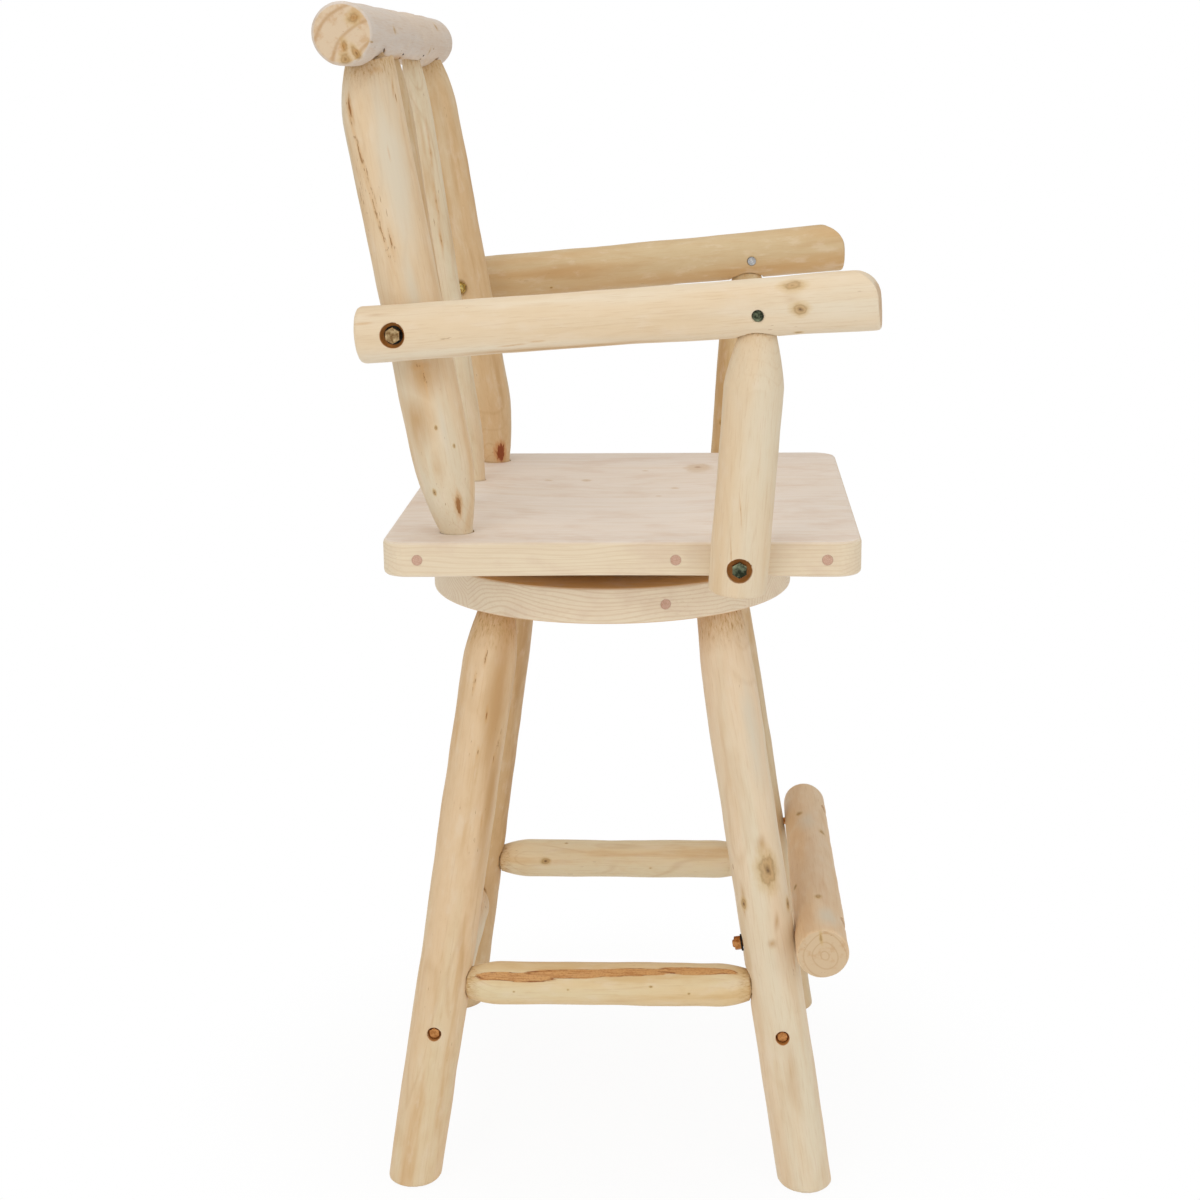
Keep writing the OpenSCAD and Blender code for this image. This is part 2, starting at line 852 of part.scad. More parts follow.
seat_dowel_ys = [
  seat_front + dowel_inset_front,
  -seat_forward - dowel_middle_forward,
  seat_rear - dowel_inset_rear
];

module seat_dowel_rods(gap = 0, end_space = 0, over = 0) {
  for (side = SIDES, y = seat_dowel_ys)
    rod(
      [side * (seat_side - dowel_len - end_space), y, seat_mid],
      [side * (seat_side + over), y, seat_mid],
      dowel_d + 2 * gap
    );
}

// Radius of the ball that hollows out the seat
dish_r = (pow(dish_width / 2, 2) + pow(dish_depth, 2)) / (2 * dish_depth);

// The arch stops short of the corners and reaches this far in from the seat's side
arch_width = 40;
arch_len = seat_depth - 2 * seat_corner_r;
arch_steps = 12;

// Points [along, rise] of the arch, from one end to the other
arch_curve = [
  for (i = [0 : arch_steps])
    let (s = 2 * i / arch_steps - 1)
    [arch_len / 2 * s, seat_arch * (1 - s * s)]
];

module side_arch(side) {
  low_x = side == LEFT ? seat_side - arch_width : -seat_side - OVER;
  translate([low_x, -seat_forward, seat_bottom])
    rotate([90, 0, 90])
      linear_extrude(arch_width + OVER)
        polygon(concat([[-arch_len / 2, -OVER]], arch_curve, [[arch_len / 2, -OVER]]));
}

module seat_board() {
  color(BOARD)
    difference() {
      translate([0, -seat_forward, seat_bottom])
        rounded_board(seat_width, seat_depth, seat_thickness, seat_corner_r, seat_edge_r);
      translate([0, -seat_forward, seat_height + dish_r - dish_depth])
        sphere(dish_r, $fn = 128);
      for (side = SIDES) {
        side_arch(side);
        post_form(side, wood_gap, end_gap);
        spindle_form(side, wood_gap, end_gap);
        lag_hole(side);
      }
      seat_dowel_rods(wood_gap, end_gap, OVER);
      translate([0, 0, seat_bottom - plate_t - OVER])
        at_plate_screws()
          cylinder(h = screw_len + OVER + end_gap, d = screw_d + 2 * wood_gap);
      translate([0, 0, seat_bottom - OVER])
        cylinder(h = pin_flange_h + pin_head_gap + end_gap + OVER, d = pin_recess_d);
    }
}

module seat_dowels() {
  color(PLUG)
    seat_dowel_rods();
}

// Back: two posts and two spindles between the seat and the top rail

// How far the narrowed tops of posts are let into the rail or the arm
let_in = 6;

function post_foot(side) = [side * (seat_side - post_inset_side), seat_rear - post_inset_rear, seat_height];

function post_head(side) =
  post_foot(side) + [side * tan(back_splay) * rail_rise, tan(back_lean) * rail_rise, rail_rise];

function spindle_foot(side) =
  [side * spindle_spacing / 2, post_foot(side).y + spindle_foot_back, seat_height];

function spindle_head(side) =
  [side * spindle_spacing / 2, post_head(side).y - spindle_head_forward, post_head(side).z];

// A back post: a log narrowed to its foot, and cut by the neck's own cone, which may stand off its middle
module post_form(side, gap = 0, end_space = 0) {
  foot = post_foot(side);
  head = post_head(side);
  length = norm(head - foot);
  neck_d = side == RIGHT ? right_post_neck_d : left_post_neck_d;
  neck_shift = side == RIGHT ? right_post_neck_shift : 0;
  neck_z = length - rail_d / 2 + let_in;
  foot_z = -seat_tenon_len - end_space;
  head_z = length + rail_tenon_over + end_space;
  post_r = post_d / 2 + gap;
  cone_r = post_r + neck_shift;
  foot_r = post_foot_tenon_d / 2 + gap;
  head_r = post_head_tenon_d / 2 + gap;
  along(foot, head, CORNER_TURN)
    intersection() {
      turned(concat(
        [[foot_r, foot_z]],
        reversed(narrowing(post_foot_taper_len, post_r, 0, foot_r)),
        [[post_r, head_z + OVER]]
      ));
      rotate(-CORNER_TURN)
        translate([-neck_shift, 0, 0])
          rotate(CORNER_TURN)
            turned(concat(
              [[cone_r + OVER, foot_z - OVER], [cone_r + OVER, neck_z - post_neck_len]],
              narrowing(neck_z - post_neck_len, cone_r, neck_z, neck_d / 2 + gap),
              [[head_r, neck_z], [head_r, head_z]]
            ));
    }
}

module back_post(side) {
  difference() {
    post_form(side);
    arm_rear_bolt_hole(side);
  }
}

module spindle_form(side, gap = 0, end_space = 0) {
  foot = spindle_foot(side);
  head = spindle_head(side);
  length = norm(head - foot);
  tip_r = spindle_tenon_d / 2 + gap;
  top_z = length - rail_d / 2 + let_in;
  along(foot, head)
    turned(concat(
      [[tip_r, -seat_tenon_len - end_space]],
      reversed(narrowing(spindle_taper_len, spindle_d / 2 + gap, 0, tip_r)),
      narrowing(top_z - spindle_taper_len, spindle_d / 2 + gap, top_z, tip_r),
      [[tip_r, length + rail_tenon_over + end_space]]
    ));
}

module spindle(side) {
  difference() {
    spindle_form(side);
    brad_rod(side, wood_gap / 2, end_gap);
  }
}

// How far a brad's head is driven below the rail's surface
brad_sink = 0.3;

// Distance from a spindle's middle to the rail's surface, going down and forward along a brad
brad_reach = sqrt(pow(rail_d / 2, 2) - pow(spindle_head_forward * sin(brad_angle), 2))
  - spindle_head_forward * cos(brad_angle);

// A brad runs from the rail's lower front into a spindle's tenon
module brad_rod(side, gap = 0, over = 0) {
  way = [0, -cos(brad_angle), -sin(brad_angle)];
  rod(
    spindle_head(side) - way * (spindle_tenon_d / 4 + over),
    spindle_head(side) + way * (brad_reach - brad_sink + over),
    brad_d + 2 * gap
  );
}

// Rounding of the top rail's ends
rail_end_r = 5.6;

module top_rail() {
  color(LOG)
    difference() {
      translate([-rail_len / 2, post_head(LEFT).y, post_head(LEFT).z])
        rotate([0, 90, 0])
          log_bar(rail_len, rail_d, rail_d, rail_end_r);
      for (side = SIDES) {
        post_form(side, wood_gap, end_gap);
        spindle_form(side, wood_gap, end_gap);
        brad_rod(side, wood_gap / 2, end_gap);
      }
    }
}

module rail_brads() {
  color(DARK_STEEL)
    for (side = SIDES)
      brad_rod(side);
}

// Arms: each is bolted to the outside of a back post and stands on an arm post

function arm_way(side) = unit([side * sin(arm_splay), -cos(arm_splay), tan(arm_slope)]);

// Level direction square to the arm, pointing outwards: the way of the arm's bolts
function arm_out(side) = [side * cos(arm_splay), sin(arm_splay), 0];

function arm_post_crossing(side) =
  post_foot(side) + (post_head(side) - post_foot(side)) * arm_rise / rail_rise;

function arm_beside_post(side) =
  arm_post_crossing(side) + arm_out(side) * ((post_d + arm_rear_d) / 2 - arm_saddle);

function arm_rear(side) = arm_beside_post(side) - arm_way(side) * arm_tail;

function arm_at(side, t) = arm_rear(side) + arm_way(side) * t;

// Diameter of an arm at the distance t from its rear end, narrowest about halfway
function arm_d_at(t) =
  let (s = t / arm_len)
  arm_rear_d * (1 - s) * (1 - 2 * s) + 4 * arm_waist_d * s * (1 - s) + arm_front_d * s * (2 * s - 1);

arm_steps = 8;
// Rounding of an arm's ends
arm_end_r = 4;

module arm_log(side) {
  nose_z = arm_len - arm_nose_r;
  along(arm_rear(side), arm_at(side, arm_len))
    difference() {
      turned(concat(
        rounded_end(0, arm_rear_d / 2, arm_end_r),
        [for (i = [1 : arm_steps - 1]) let (t = arm_len * i / arm_steps) [arm_d_at(t) / 2, t]],
        [for (p = reversed(rounded_end(0, arm_front_d / 2, arm_end_r))) [p[0], arm_len - p[1]]]
      ));
      difference() {
        translate([-arm_front_d / 2 - OVER, -arm_front_d, nose_z])
          cube([arm_nose_r + OVER, 2 * arm_front_d, arm_nose_r + OVER]);
        translate([arm_nose_r - arm_front_d / 2, 0, nose_z])
          rotate([90, 0, 0])
            cylinder(r = arm_nose_r, h = 3 * arm_front_d, center = true);
      }
    }
}

module arm(side) {
  difference() {
    arm_log(side);
    rod(post_foot(side), post_head(side), post_d + 2 * wood_gap);
    arm_post_form(side, wood_gap, end_gap);
    arm_rear_bolt_hole(side);
    connector_hole(side);
  }
}

// Rear bolt: its head's seat in the arm and its cap nut's seat on the post
function rear_bolt_seat(side) =
  arm_beside_post(side) + arm_out(side) * (arm_rear_d / 2 - sink_depth) - arm_way(side) * arm_bolt_back;

cap_nut_flat_d = bolt_af / cos(30) + OVER;

function cap_nut_seat(side) =
  arm_post_crossing(side)
  - arm_out(side) * (post_d / 2 - flat_depth(post_d, cap_nut_flat_d + 2 * arm_bolt_back))
  - arm_way(side) * arm_bolt_back;

// Solid top of a cap nut above its thread
cap_nut_roof = 5;
cap_nut_bite = cap_h - cap_nut_roof;

module arm_rear_bolt_hole(side) {
  rod(cap_nut_seat(side), rear_bolt_seat(side), bolt_d + 2 * wood_gap, OVER);
  along(rear_bolt_seat(side), rear_bolt_seat(side) + arm_out(side))
    cylinder(h = arm_rear_d / 2, d = sink_d);
  along(cap_nut_seat(side), cap_nut_seat(side) - arm_out(side))
    cylinder(h = post_d / 2, d = cap_nut_flat_d);
}

module arm_rear_bolts() {
  color(ZINC)
    for (side = SIDES) {
      tip = cap_nut_seat(side) - arm_out(side) * (cap_nut_bite - end_gap);
      seat = rear_bolt_seat(side) + arm_out(side) * washer_t;
      along(tip, seat) {
        bolt_shank(norm(seat - tip), bolt_d);
        translate([0, 0, norm(seat - tip)])
          hex_head(bolt_af, bolt_head_h);
      }
    }
}

module arm_bolt_washers() {
  color(DARK_STEEL)
    for (side = SIDES)
      along(rear_bolt_seat(side), rear_bolt_seat(side) + arm_out(side))
        washer();
}

module cap_nuts() {
  dome_r = cap_d / 2;
  color(BRASS)
    for (side = SIDES)
      along(cap_nut_seat(side), cap_nut_seat(side) - arm_out(side))
        difference() {
          union() {
            hex_head(bolt_af, cap_h - dome_r);
            translate([0, 0, cap_h - dome_r])
              intersection() {
                sphere(dome_r);
                translate([0, 0, dome_r / 2 - OVER])
                  cube([cap_d, cap_d, dome_r + 2 * OVER], center = true);
              }
          }
          translate([0, 0, -OVER])
            cylinder(h = cap_nut_bite + OVER, d = bolt_d + 2 * wood_gap);
        }
}

// Arm posts: bolted to the seat's side edge, their tops tenoned into the arms

function arm_post_base(side) = [
  side * (seat_side + arm_post_d / 2 - arm_post_rebate),
  -seat_forward - arm_post_forward,
  seat_mid
];

// How far along the arm its post stands, where the leaning post meets the arm's middle
function arm_post_t(side) =
  let (
    base = arm_post_base(side),
    rear = arm_rear(side),
    way = arm_way(side),
    lean = tan(arm_post_lean)
  )
  (base.y - rear.y - lean * (rear.z - base.z)) / (way.y + lean * way.z);

function arm_post_head(side) = arm_at(side, arm_post_t(side));

arm_tenon_over = 6;
// Rounding of an arm post's lower end
arm_post_end_r = 4;

module arm_post_form(side, gap = 0, end_space = 0) {
  base = arm_post_base(side);
  head = arm_post_head(side);
  length = norm(head - base);
  neck_z = length - arm_d_at(arm_post_t(side)) / 2 + let_in;
  low = -seat_thickness / 2 - arm_post_drop;
  tenon_r = arm_post_tenon_d / 2 + gap;
  along(base, head)
    turned(concat(
      rounded_end(low, arm_post_d / 2 + gap, arm_post_end_r),
      narrowing(
        neck_z - arm_post_taper_len, arm_post_d / 2 + gap, neck_z, arm_post_neck_d / 2 + gap, PLAIN_NECK
      ),
      [[tenon_r, neck_z], [tenon_r, length + arm_tenon_over + end_space]]
    ));
}

module arm_post(side) {
  difference() {
    arm_post_form(side);
    // The rebate that the seat's edge sits in
    translate([side * (seat_side - FAR / 2), 0, seat_height - FAR / 2])
      cube([FAR, FAR, FAR], center = true);
    lag_hole(side);
    connector_hole(side);
  }
}

// Distance from the middle plane to the seat of a lag bolt's head
lag_seat_x = seat_side + arm_post_d - arm_post_rebate - sink_depth;

module at_lag(side) {
  translate([side * lag_seat_x, arm_post_base(side).y, seat_mid])
    rotate([0, side * 90, 0])
      children();
}

lag_len = lag_seat_x - seat_side + lag_depth;

module lag_hole(side) {
  at_lag(side) {
    translate([0, 0, -lag_len - end_gap])
      cylinder(h = lag_len + end_gap + OVER, d = bolt_d + 2 * wood_gap);
    cylinder(h = arm_post_d / 2, d = sink_d);
  }
}

module arm_post_bolts() {
  color(ZINC)
    for (side = SIDES)
      at_lag(side) {
        translate([0, 0, -lag_len])
          bolt_shank(lag_len, bolt_d);
        hex_head(bolt_af, bolt_head_h);
      }
}

// Connector bolt and sleeve nut, through the arm and the arm post's tenon
connector_d = 6;
connector_rim_h = 1.6;
socket_af = 4;
socket_depth = 1.3;

function connector_point(side) = arm_post_head(side) - [0, 0, connector_drop];

function connector_half(side) =
  sqrt(pow(arm_d_at(arm_post_t(side)) / 2, 2) - pow(connector_drop, 2)) - connector_rim_h - OVER;

module at_connector(side, way) {
  p = connector_point(side);
  along(p, p + way * arm_out(side))
    children();
}

module connector_hole(side) {
  half = connector_half(side);
  at_connector(side, 1) {
    cylinder(h = 2 * half, d = sleeve_d + 2 * wood_gap, center = true);
    for (z = [-half - arm_front_d, half])
      translate([0, 0, z])
        cylinder(h = arm_front_d, d = connector_head_d + 4 * wood_gap);
  }
}

// How far past the arm's middle the sleeve reaches towards the bolt's head
sleeve_past_middle = 8;
// Solid end of the sleeve next to its flange
sleeve_end = 4;

// A flat round head on a shank from Z = low up to the head, with a hex socket in the head
module socket_piece(low, half, shank_d) {
  head_top = half + connector_rim_h;
  difference() {
    turned([
      [shank_d / 2, low],
      [shank_d / 2, half],
      [connector_head_d / 2, half],
      [connector_head_d / 2, head_top]
    ]);
    translate([0, 0, head_top - socket_depth])
      hex_prism(socket_af, socket_depth + OVER);
  }
}

module arm_connector_bolts() {
  color(DARK_STEEL)
    for (side = SIDES)
      at_connector(side, 1)
        socket_piece(-connector_half(side) / 2, connector_half(side), connector_d);
}

module sleeve_nuts() {
  color(BRIGHT_STEEL)
    for (side = SIDES) {
      half = connector_half(side);
      at_connector(side, -1)
        difference() {
          socket_piece(-sleeve_past_middle, half, sleeve_d);
          translate([0, 0, -sleeve_past_middle - OVER])
            cylinder(h = sleeve_past_middle + OVER + half - sleeve_end, d = connector_d + 2 * wood_gap);
        }
    }
}

// Nodes

base_disc();
disc_dowels();
color(LOG) leg(RIGHT, FRONT);  // front_right_leg
color(LOG) leg(LEFT, FRONT);  // front_left_leg
color(LOG) leg(RIGHT, REAR);  // rear_right_leg
color(LOG) leg(LEFT, REAR);  // rear_left_leg
color(LOG) side_stretcher(RIGHT);  // right_stretcher
color(LOG) side_stretcher(LEFT);  // left_stretcher
color(LOG) cross_stretcher(FRONT);  // front_stretcher
color(LOG) cross_stretcher(REAR);  // rear_stretcher
stretcher_bolts();
footrest_log();
footrest_bolts();
footrest_washers();
footrest_nuts();
swivel_lower_plate();
lower_plate_screws();
swivel_pin();
bearing_balls();
ball_cage();
swivel_upper_plate();
upper_plate_screws();
seat_board();
seat_dowels();
color(LOG) back_post(RIGHT);  // right_back_post
color(LOG) back_post(LEFT);  // left_back_post
color(LOG) spindle(RIGHT);  // right_spindle
color(LOG) spindle(LEFT);  // left_spindle
top_rail();
rail_brads();
color(LOG) arm(RIGHT);  // right_arm
color(LOG) arm(LEFT);  // left_arm
color(LOG) arm_post(RIGHT);  // right_arm_post
color(LOG) arm_post(LEFT);  // left_arm_post
arm_rear_bolts();
arm_bolt_washers();
cap_nuts();
arm_post_bolts();
arm_connector_bolts();
sleeve_nuts();
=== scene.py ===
"""Looks of a swivel bar stool made of peeled logs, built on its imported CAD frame.

Places are in metres in the frame's own axes: +Z up, -Y to the front of the stool, -X to the
sitter's right, the swivel's axis on Z and the floor at Z = 0. Patterns are sized in millimetres.
"""
import logging
import math
from collections.abc import Callable
from dataclasses import dataclass, replace
from enum import Enum

import bpy
import numpy as np
from mathutils import Matrix, Quaternion, Vector


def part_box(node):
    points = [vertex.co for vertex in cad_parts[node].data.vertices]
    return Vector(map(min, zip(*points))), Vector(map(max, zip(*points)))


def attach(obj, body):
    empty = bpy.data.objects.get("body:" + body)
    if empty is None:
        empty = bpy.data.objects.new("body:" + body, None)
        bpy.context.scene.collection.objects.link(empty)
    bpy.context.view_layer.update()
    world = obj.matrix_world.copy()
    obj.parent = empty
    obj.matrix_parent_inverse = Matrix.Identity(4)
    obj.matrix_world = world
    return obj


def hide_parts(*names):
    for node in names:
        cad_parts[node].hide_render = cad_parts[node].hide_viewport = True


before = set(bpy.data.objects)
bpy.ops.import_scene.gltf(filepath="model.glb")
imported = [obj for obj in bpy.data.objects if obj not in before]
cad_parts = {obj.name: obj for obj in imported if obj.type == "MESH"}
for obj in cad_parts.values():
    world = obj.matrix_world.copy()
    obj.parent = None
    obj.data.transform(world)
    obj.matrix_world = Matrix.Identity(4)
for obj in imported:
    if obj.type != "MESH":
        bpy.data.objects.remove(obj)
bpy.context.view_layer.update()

LOG = logging.getLogger("log_stool")
MM = 0.001
Colour = tuple[float, float, float, float]
Pair = tuple[float, float]
Triple = tuple[float, float, float]
Piece = bpy.types.Object
Socket = bpy.types.NodeSocket
# Setting of a Map Range node that fades smoothly and holds its ends
SMOOTH = {"interpolation_type": "SMOOTHSTEP"}
# A reach, in a mark's own size, where nothing of the mark shows
FAR_AWAY = 99.0


def linear(hex_colour: str) -> Colour:
    """Turns an sRGB hex colour into Blender's linear colour.

    Args:
        hex_colour: Six hex digits, such as "E8D2AC".

    Returns:
        Red, green, blue and alpha, in linear light.
    """
    parts = [int(hex_colour[i:i + 2], 16) / 255 for i in (0, 2, 4)]
    red, green, blue = [c / 12.92 if c <= 0.04045 else ((c + 0.055) / 1.055) ** 2.4 for c in parts]
    return red, green, blue, 1.0


class Graph:
    """A node tree under construction."""

    def __init__(self, owner: bpy.types.Material | bpy.types.World) -> None:
        """Empties the node tree of a material or a world.

        Args:
            owner: The material or the world.
        """
        owner.use_nodes = True
        self.tree = owner.node_tree
        self.tree.nodes.clear()

    def add(
        self, kind: str, inputs: dict | tuple = (), output: int | str = 0, **settings: object
    ) -> Socket | None:
        """Adds one node with its settings and links.

        Args:
            kind: The node's type name after "ShaderNode", and its operation after a colon.
            inputs: Values or output sockets, in the inputs' order or by their names or numbers.
            output: Number or name of the output that is wanted.
            settings: The node's own settings by name.

        Returns:
            The wanted output, or None from a node without outputs.
        """
        kind, _, operation = kind.partition(":")
        node = self.tree.nodes.new("ShaderNode" + kind)
        if operation:
            node.operation = operation
        for name, value in settings.items():
            setattr(node, name, value)
        for key, value in inputs.items() if isinstance(inputs, dict) else enumerate(inputs):
            if isinstance(value, Socket):
                self.tree.links.new(value, node.inputs[key])
            else:
                node.inputs[key].default_value = value
        return node.outputs[output] if len(node.outputs) else None


@dataclass(frozen=True)
class LogAxis:
    """The middle line of a log or a bolt, measured on its mesh.

    Attributes:
        start: Its lower end, or where it lies level its end towards -X or -Y, in metres.
        end: Its other end.
    """

    start: Triple
    end: Triple

    @classmethod
    def of(cls, piece: Piece, side: int = 0, end: int = 0) -> "LogAxis":
        """Measures the middle line of a long piece.

        Args:
            piece: The piece, whose vertices are in the frame's axes.
            side: -1 or 1 keeps only the vertices on that side of the plane X = 0.
            end: -1 or 1 keeps only the vertices on that side of the plane Y = 0.

        Returns:
            The line, running up, or along +X or +Y where it lies level.
        """
        points = np.empty(len(piece.data.vertices) * 3)
        piece.data.vertices.foreach_get("co", points)
        points = points.reshape(-1, 3)
        if side:
            points = points[points[:, 0] * side > 0]
        if end:
            points = points[points[:, 1] * end > 0]
        middle = points.mean(0)
        _, directions = np.linalg.eigh(np.cov((points - middle).T))
        way = directions[:, 2]
        way = way * math.copysign(1.0, way[np.argmax(np.abs(way))])
        reach = (points - middle) @ way
        start, end_point = middle + way * reach.min(), middle + way * reach.max()
        return cls(tuple(start.tolist()), tuple(end_point.tolist()))

    def way(self) -> Vector:
        """Gives the unit vector along the line."""
        return (Vector(self.end) - Vector(self.start)).normalized()

    def turn(self) -> Quaternion:
        """Gives the turn from the log's own axes, with Z along it, to the frame's."""
        return self.way().to_track_quat("Z", "Y")

    def length_mm(self) -> float:
        """Gives the line's length in millimetres."""
        return (Vector(self.end) - Vector(self.start)).length / MM

    def spot(self, point: Vector) -> Vector:
        """Gives a point of the frame in the log's own axes, in millimetres from its start."""
        return self.turn().inverted() @ (point - Vector(self.start)) / MM

    def local(self, graph: Graph, point: Socket) -> Socket:
        """Turns object coordinates into the log's own: Z along it from its start, in millimetres."""
        return graph.add("Mapping", (
            point, self.start, self.turn().to_euler(), (MM, MM, MM)), vector_type="TEXTURE")


@dataclass(frozen=True)
class PhotoCamera:
    """The camera at the photograph's viewing angle.

    Attributes:
        place: Where it stands, in metres.
        yaw: Its turn from +X towards +Y, in radians.
        pitch: Its tilt upwards.
        roll: Its turn about its own axis.
        focal_px: Its focal length in pixels of the photograph.
        frame_px: The photograph's width.
        sensor_mm: The width of its sensor.
    """

    place: Triple = (-2.1834, -0.10335, 1.09937)
    yaw: float = 0.05341
    pitch: float = -0.24253
    roll: float = -0.01266
    focal_px: float = 2126.4
    frame_px: float = 1200.0
    sensor_mm: float = 36.0

    def turned(self, degrees: float) -> "PhotoCamera":
        """Gives the camera as it stands when all is turned about the swivel's axis.

        Args:
            degrees: The turn.

        Returns:
            The turned camera.
        """
        angle = math.radians(degrees)
        place = Matrix.Rotation(angle, 3, "Z") @ Vector(self.place)
        return replace(self, place=tuple(place), yaw=self.yaw + angle)

    def axes(self) -> tuple[Vector, Vector, Vector]:
        """Works out which way the camera stands.

        Returns:
            Its right, its up and the way it looks.
        """
        ahead = Vector((
            math.cos(self.pitch) * math.cos(self.yaw),
            math.cos(self.pitch) * math.sin(self.yaw),
            math.sin(self.pitch)))
        level_right = ahead.cross(Vector((0.0, 0.0, 1.0))).normalized()
        level_up = level_right.cross(ahead)
        right = level_right * math.cos(self.roll) + level_up * math.sin(self.roll)
        return right, right.cross(ahead), ahead

    def find(self, piece: Piece, mark: "Mark") -> Vector:
        """Finds the point of a piece that a mark's pixel of the photograph shows.

        Args:
            piece: The piece.
            mark: The mark.

        Returns:
            The point, or the nearest one where the pixel just misses the piece.
        """
        right, up, ahead = self.axes()
        place, half = Vector(self.place), self.frame_px / 2
        aside = right * (mark.across_px - half) - up * (mark.down_px - half)
        sight = (ahead * self.focal_px + aside).normalized()
        hit, point, _, _ = piece.ray_cast(place, sight)
        if not hit:
            middle = sum((Vector(corner) for corner in piece.bound_box), Vector()) / 8
            beside = place + sight * (middle - place).dot(sight)
            _, point, _, _ = piece.closest_point_on_mesh(beside)
        return point

    def build(self) -> None:
        """Sets up the camera and makes it the scene's own."""
        right, up, ahead = self.axes()
        lens = bpy.data.cameras.new("photo_camera")
        lens.sensor_fit, lens.sensor_width = "HORIZONTAL", self.sensor_mm
        lens.lens = self.focal_px / self.frame_px * self.sensor_mm
        camera = bpy.data.objects.new("photo_camera", lens)
        bpy.context.scene.collection.objects.link(camera)
        turn = Matrix((right, up, -ahead)).transposed()
        camera.matrix_world = Matrix.Translation(self.place) @ turn.to_4x4()
        bpy.context.scene.camera = camera


# The camera that shows the stool at rest, and the one that took the photograph, where the seat
# stands turned by SEAT_TURN degrees
CAMERA = PhotoCamera()
AS_TAKEN = PhotoCamera((-2.2078, -0.1067, 1.1037), 0.0541, -0.2421, -0.0122, 2150.6)
SEAT_TURN = 2.19
SIGHTS = {"base": AS_TAKEN, "seat": AS_TAKEN.turned(-SEAT_TURN)}


@dataclass(frozen=True)
class Mark:
    """A knot, a stain or a stripe of bast, found by its pixel in the photograph.

    Attributes:
        across_px: Its middle, from the photograph's left side.
        down_px: Its middle, from the top.
        width: Width across the fibres, in millimetres.
        length: Length along the fibres, in millimetres.
        faint: 0 shows the whole mark, larger values only its paler outer part.
        skew: Lean of the mark against the fibres, in degrees.
    """

    across_px: float
    down_px: float
    width: float
    length: float
    faint: float = 0.0
    skew: float = 0.0


@dataclass(frozen=True)
class Spot:
    """A mark's place in the wood, in millimetres and in the piece's own axes.

    Attributes:
        middle: Its middle.
        turn: Its turn about X, Y and Z, in radians.
        half: Half its size along its own X, Y and Z.
        faint: How much of its middle is left out.
    """

    middle: Triple
    turn: Triple
    half: Triple
    faint: float


class Necks(Enum):
    """Which ends of a log a tenon cutter narrowed."""

    NONE = "none"
    TOP = "top"
    BOTH = "both"


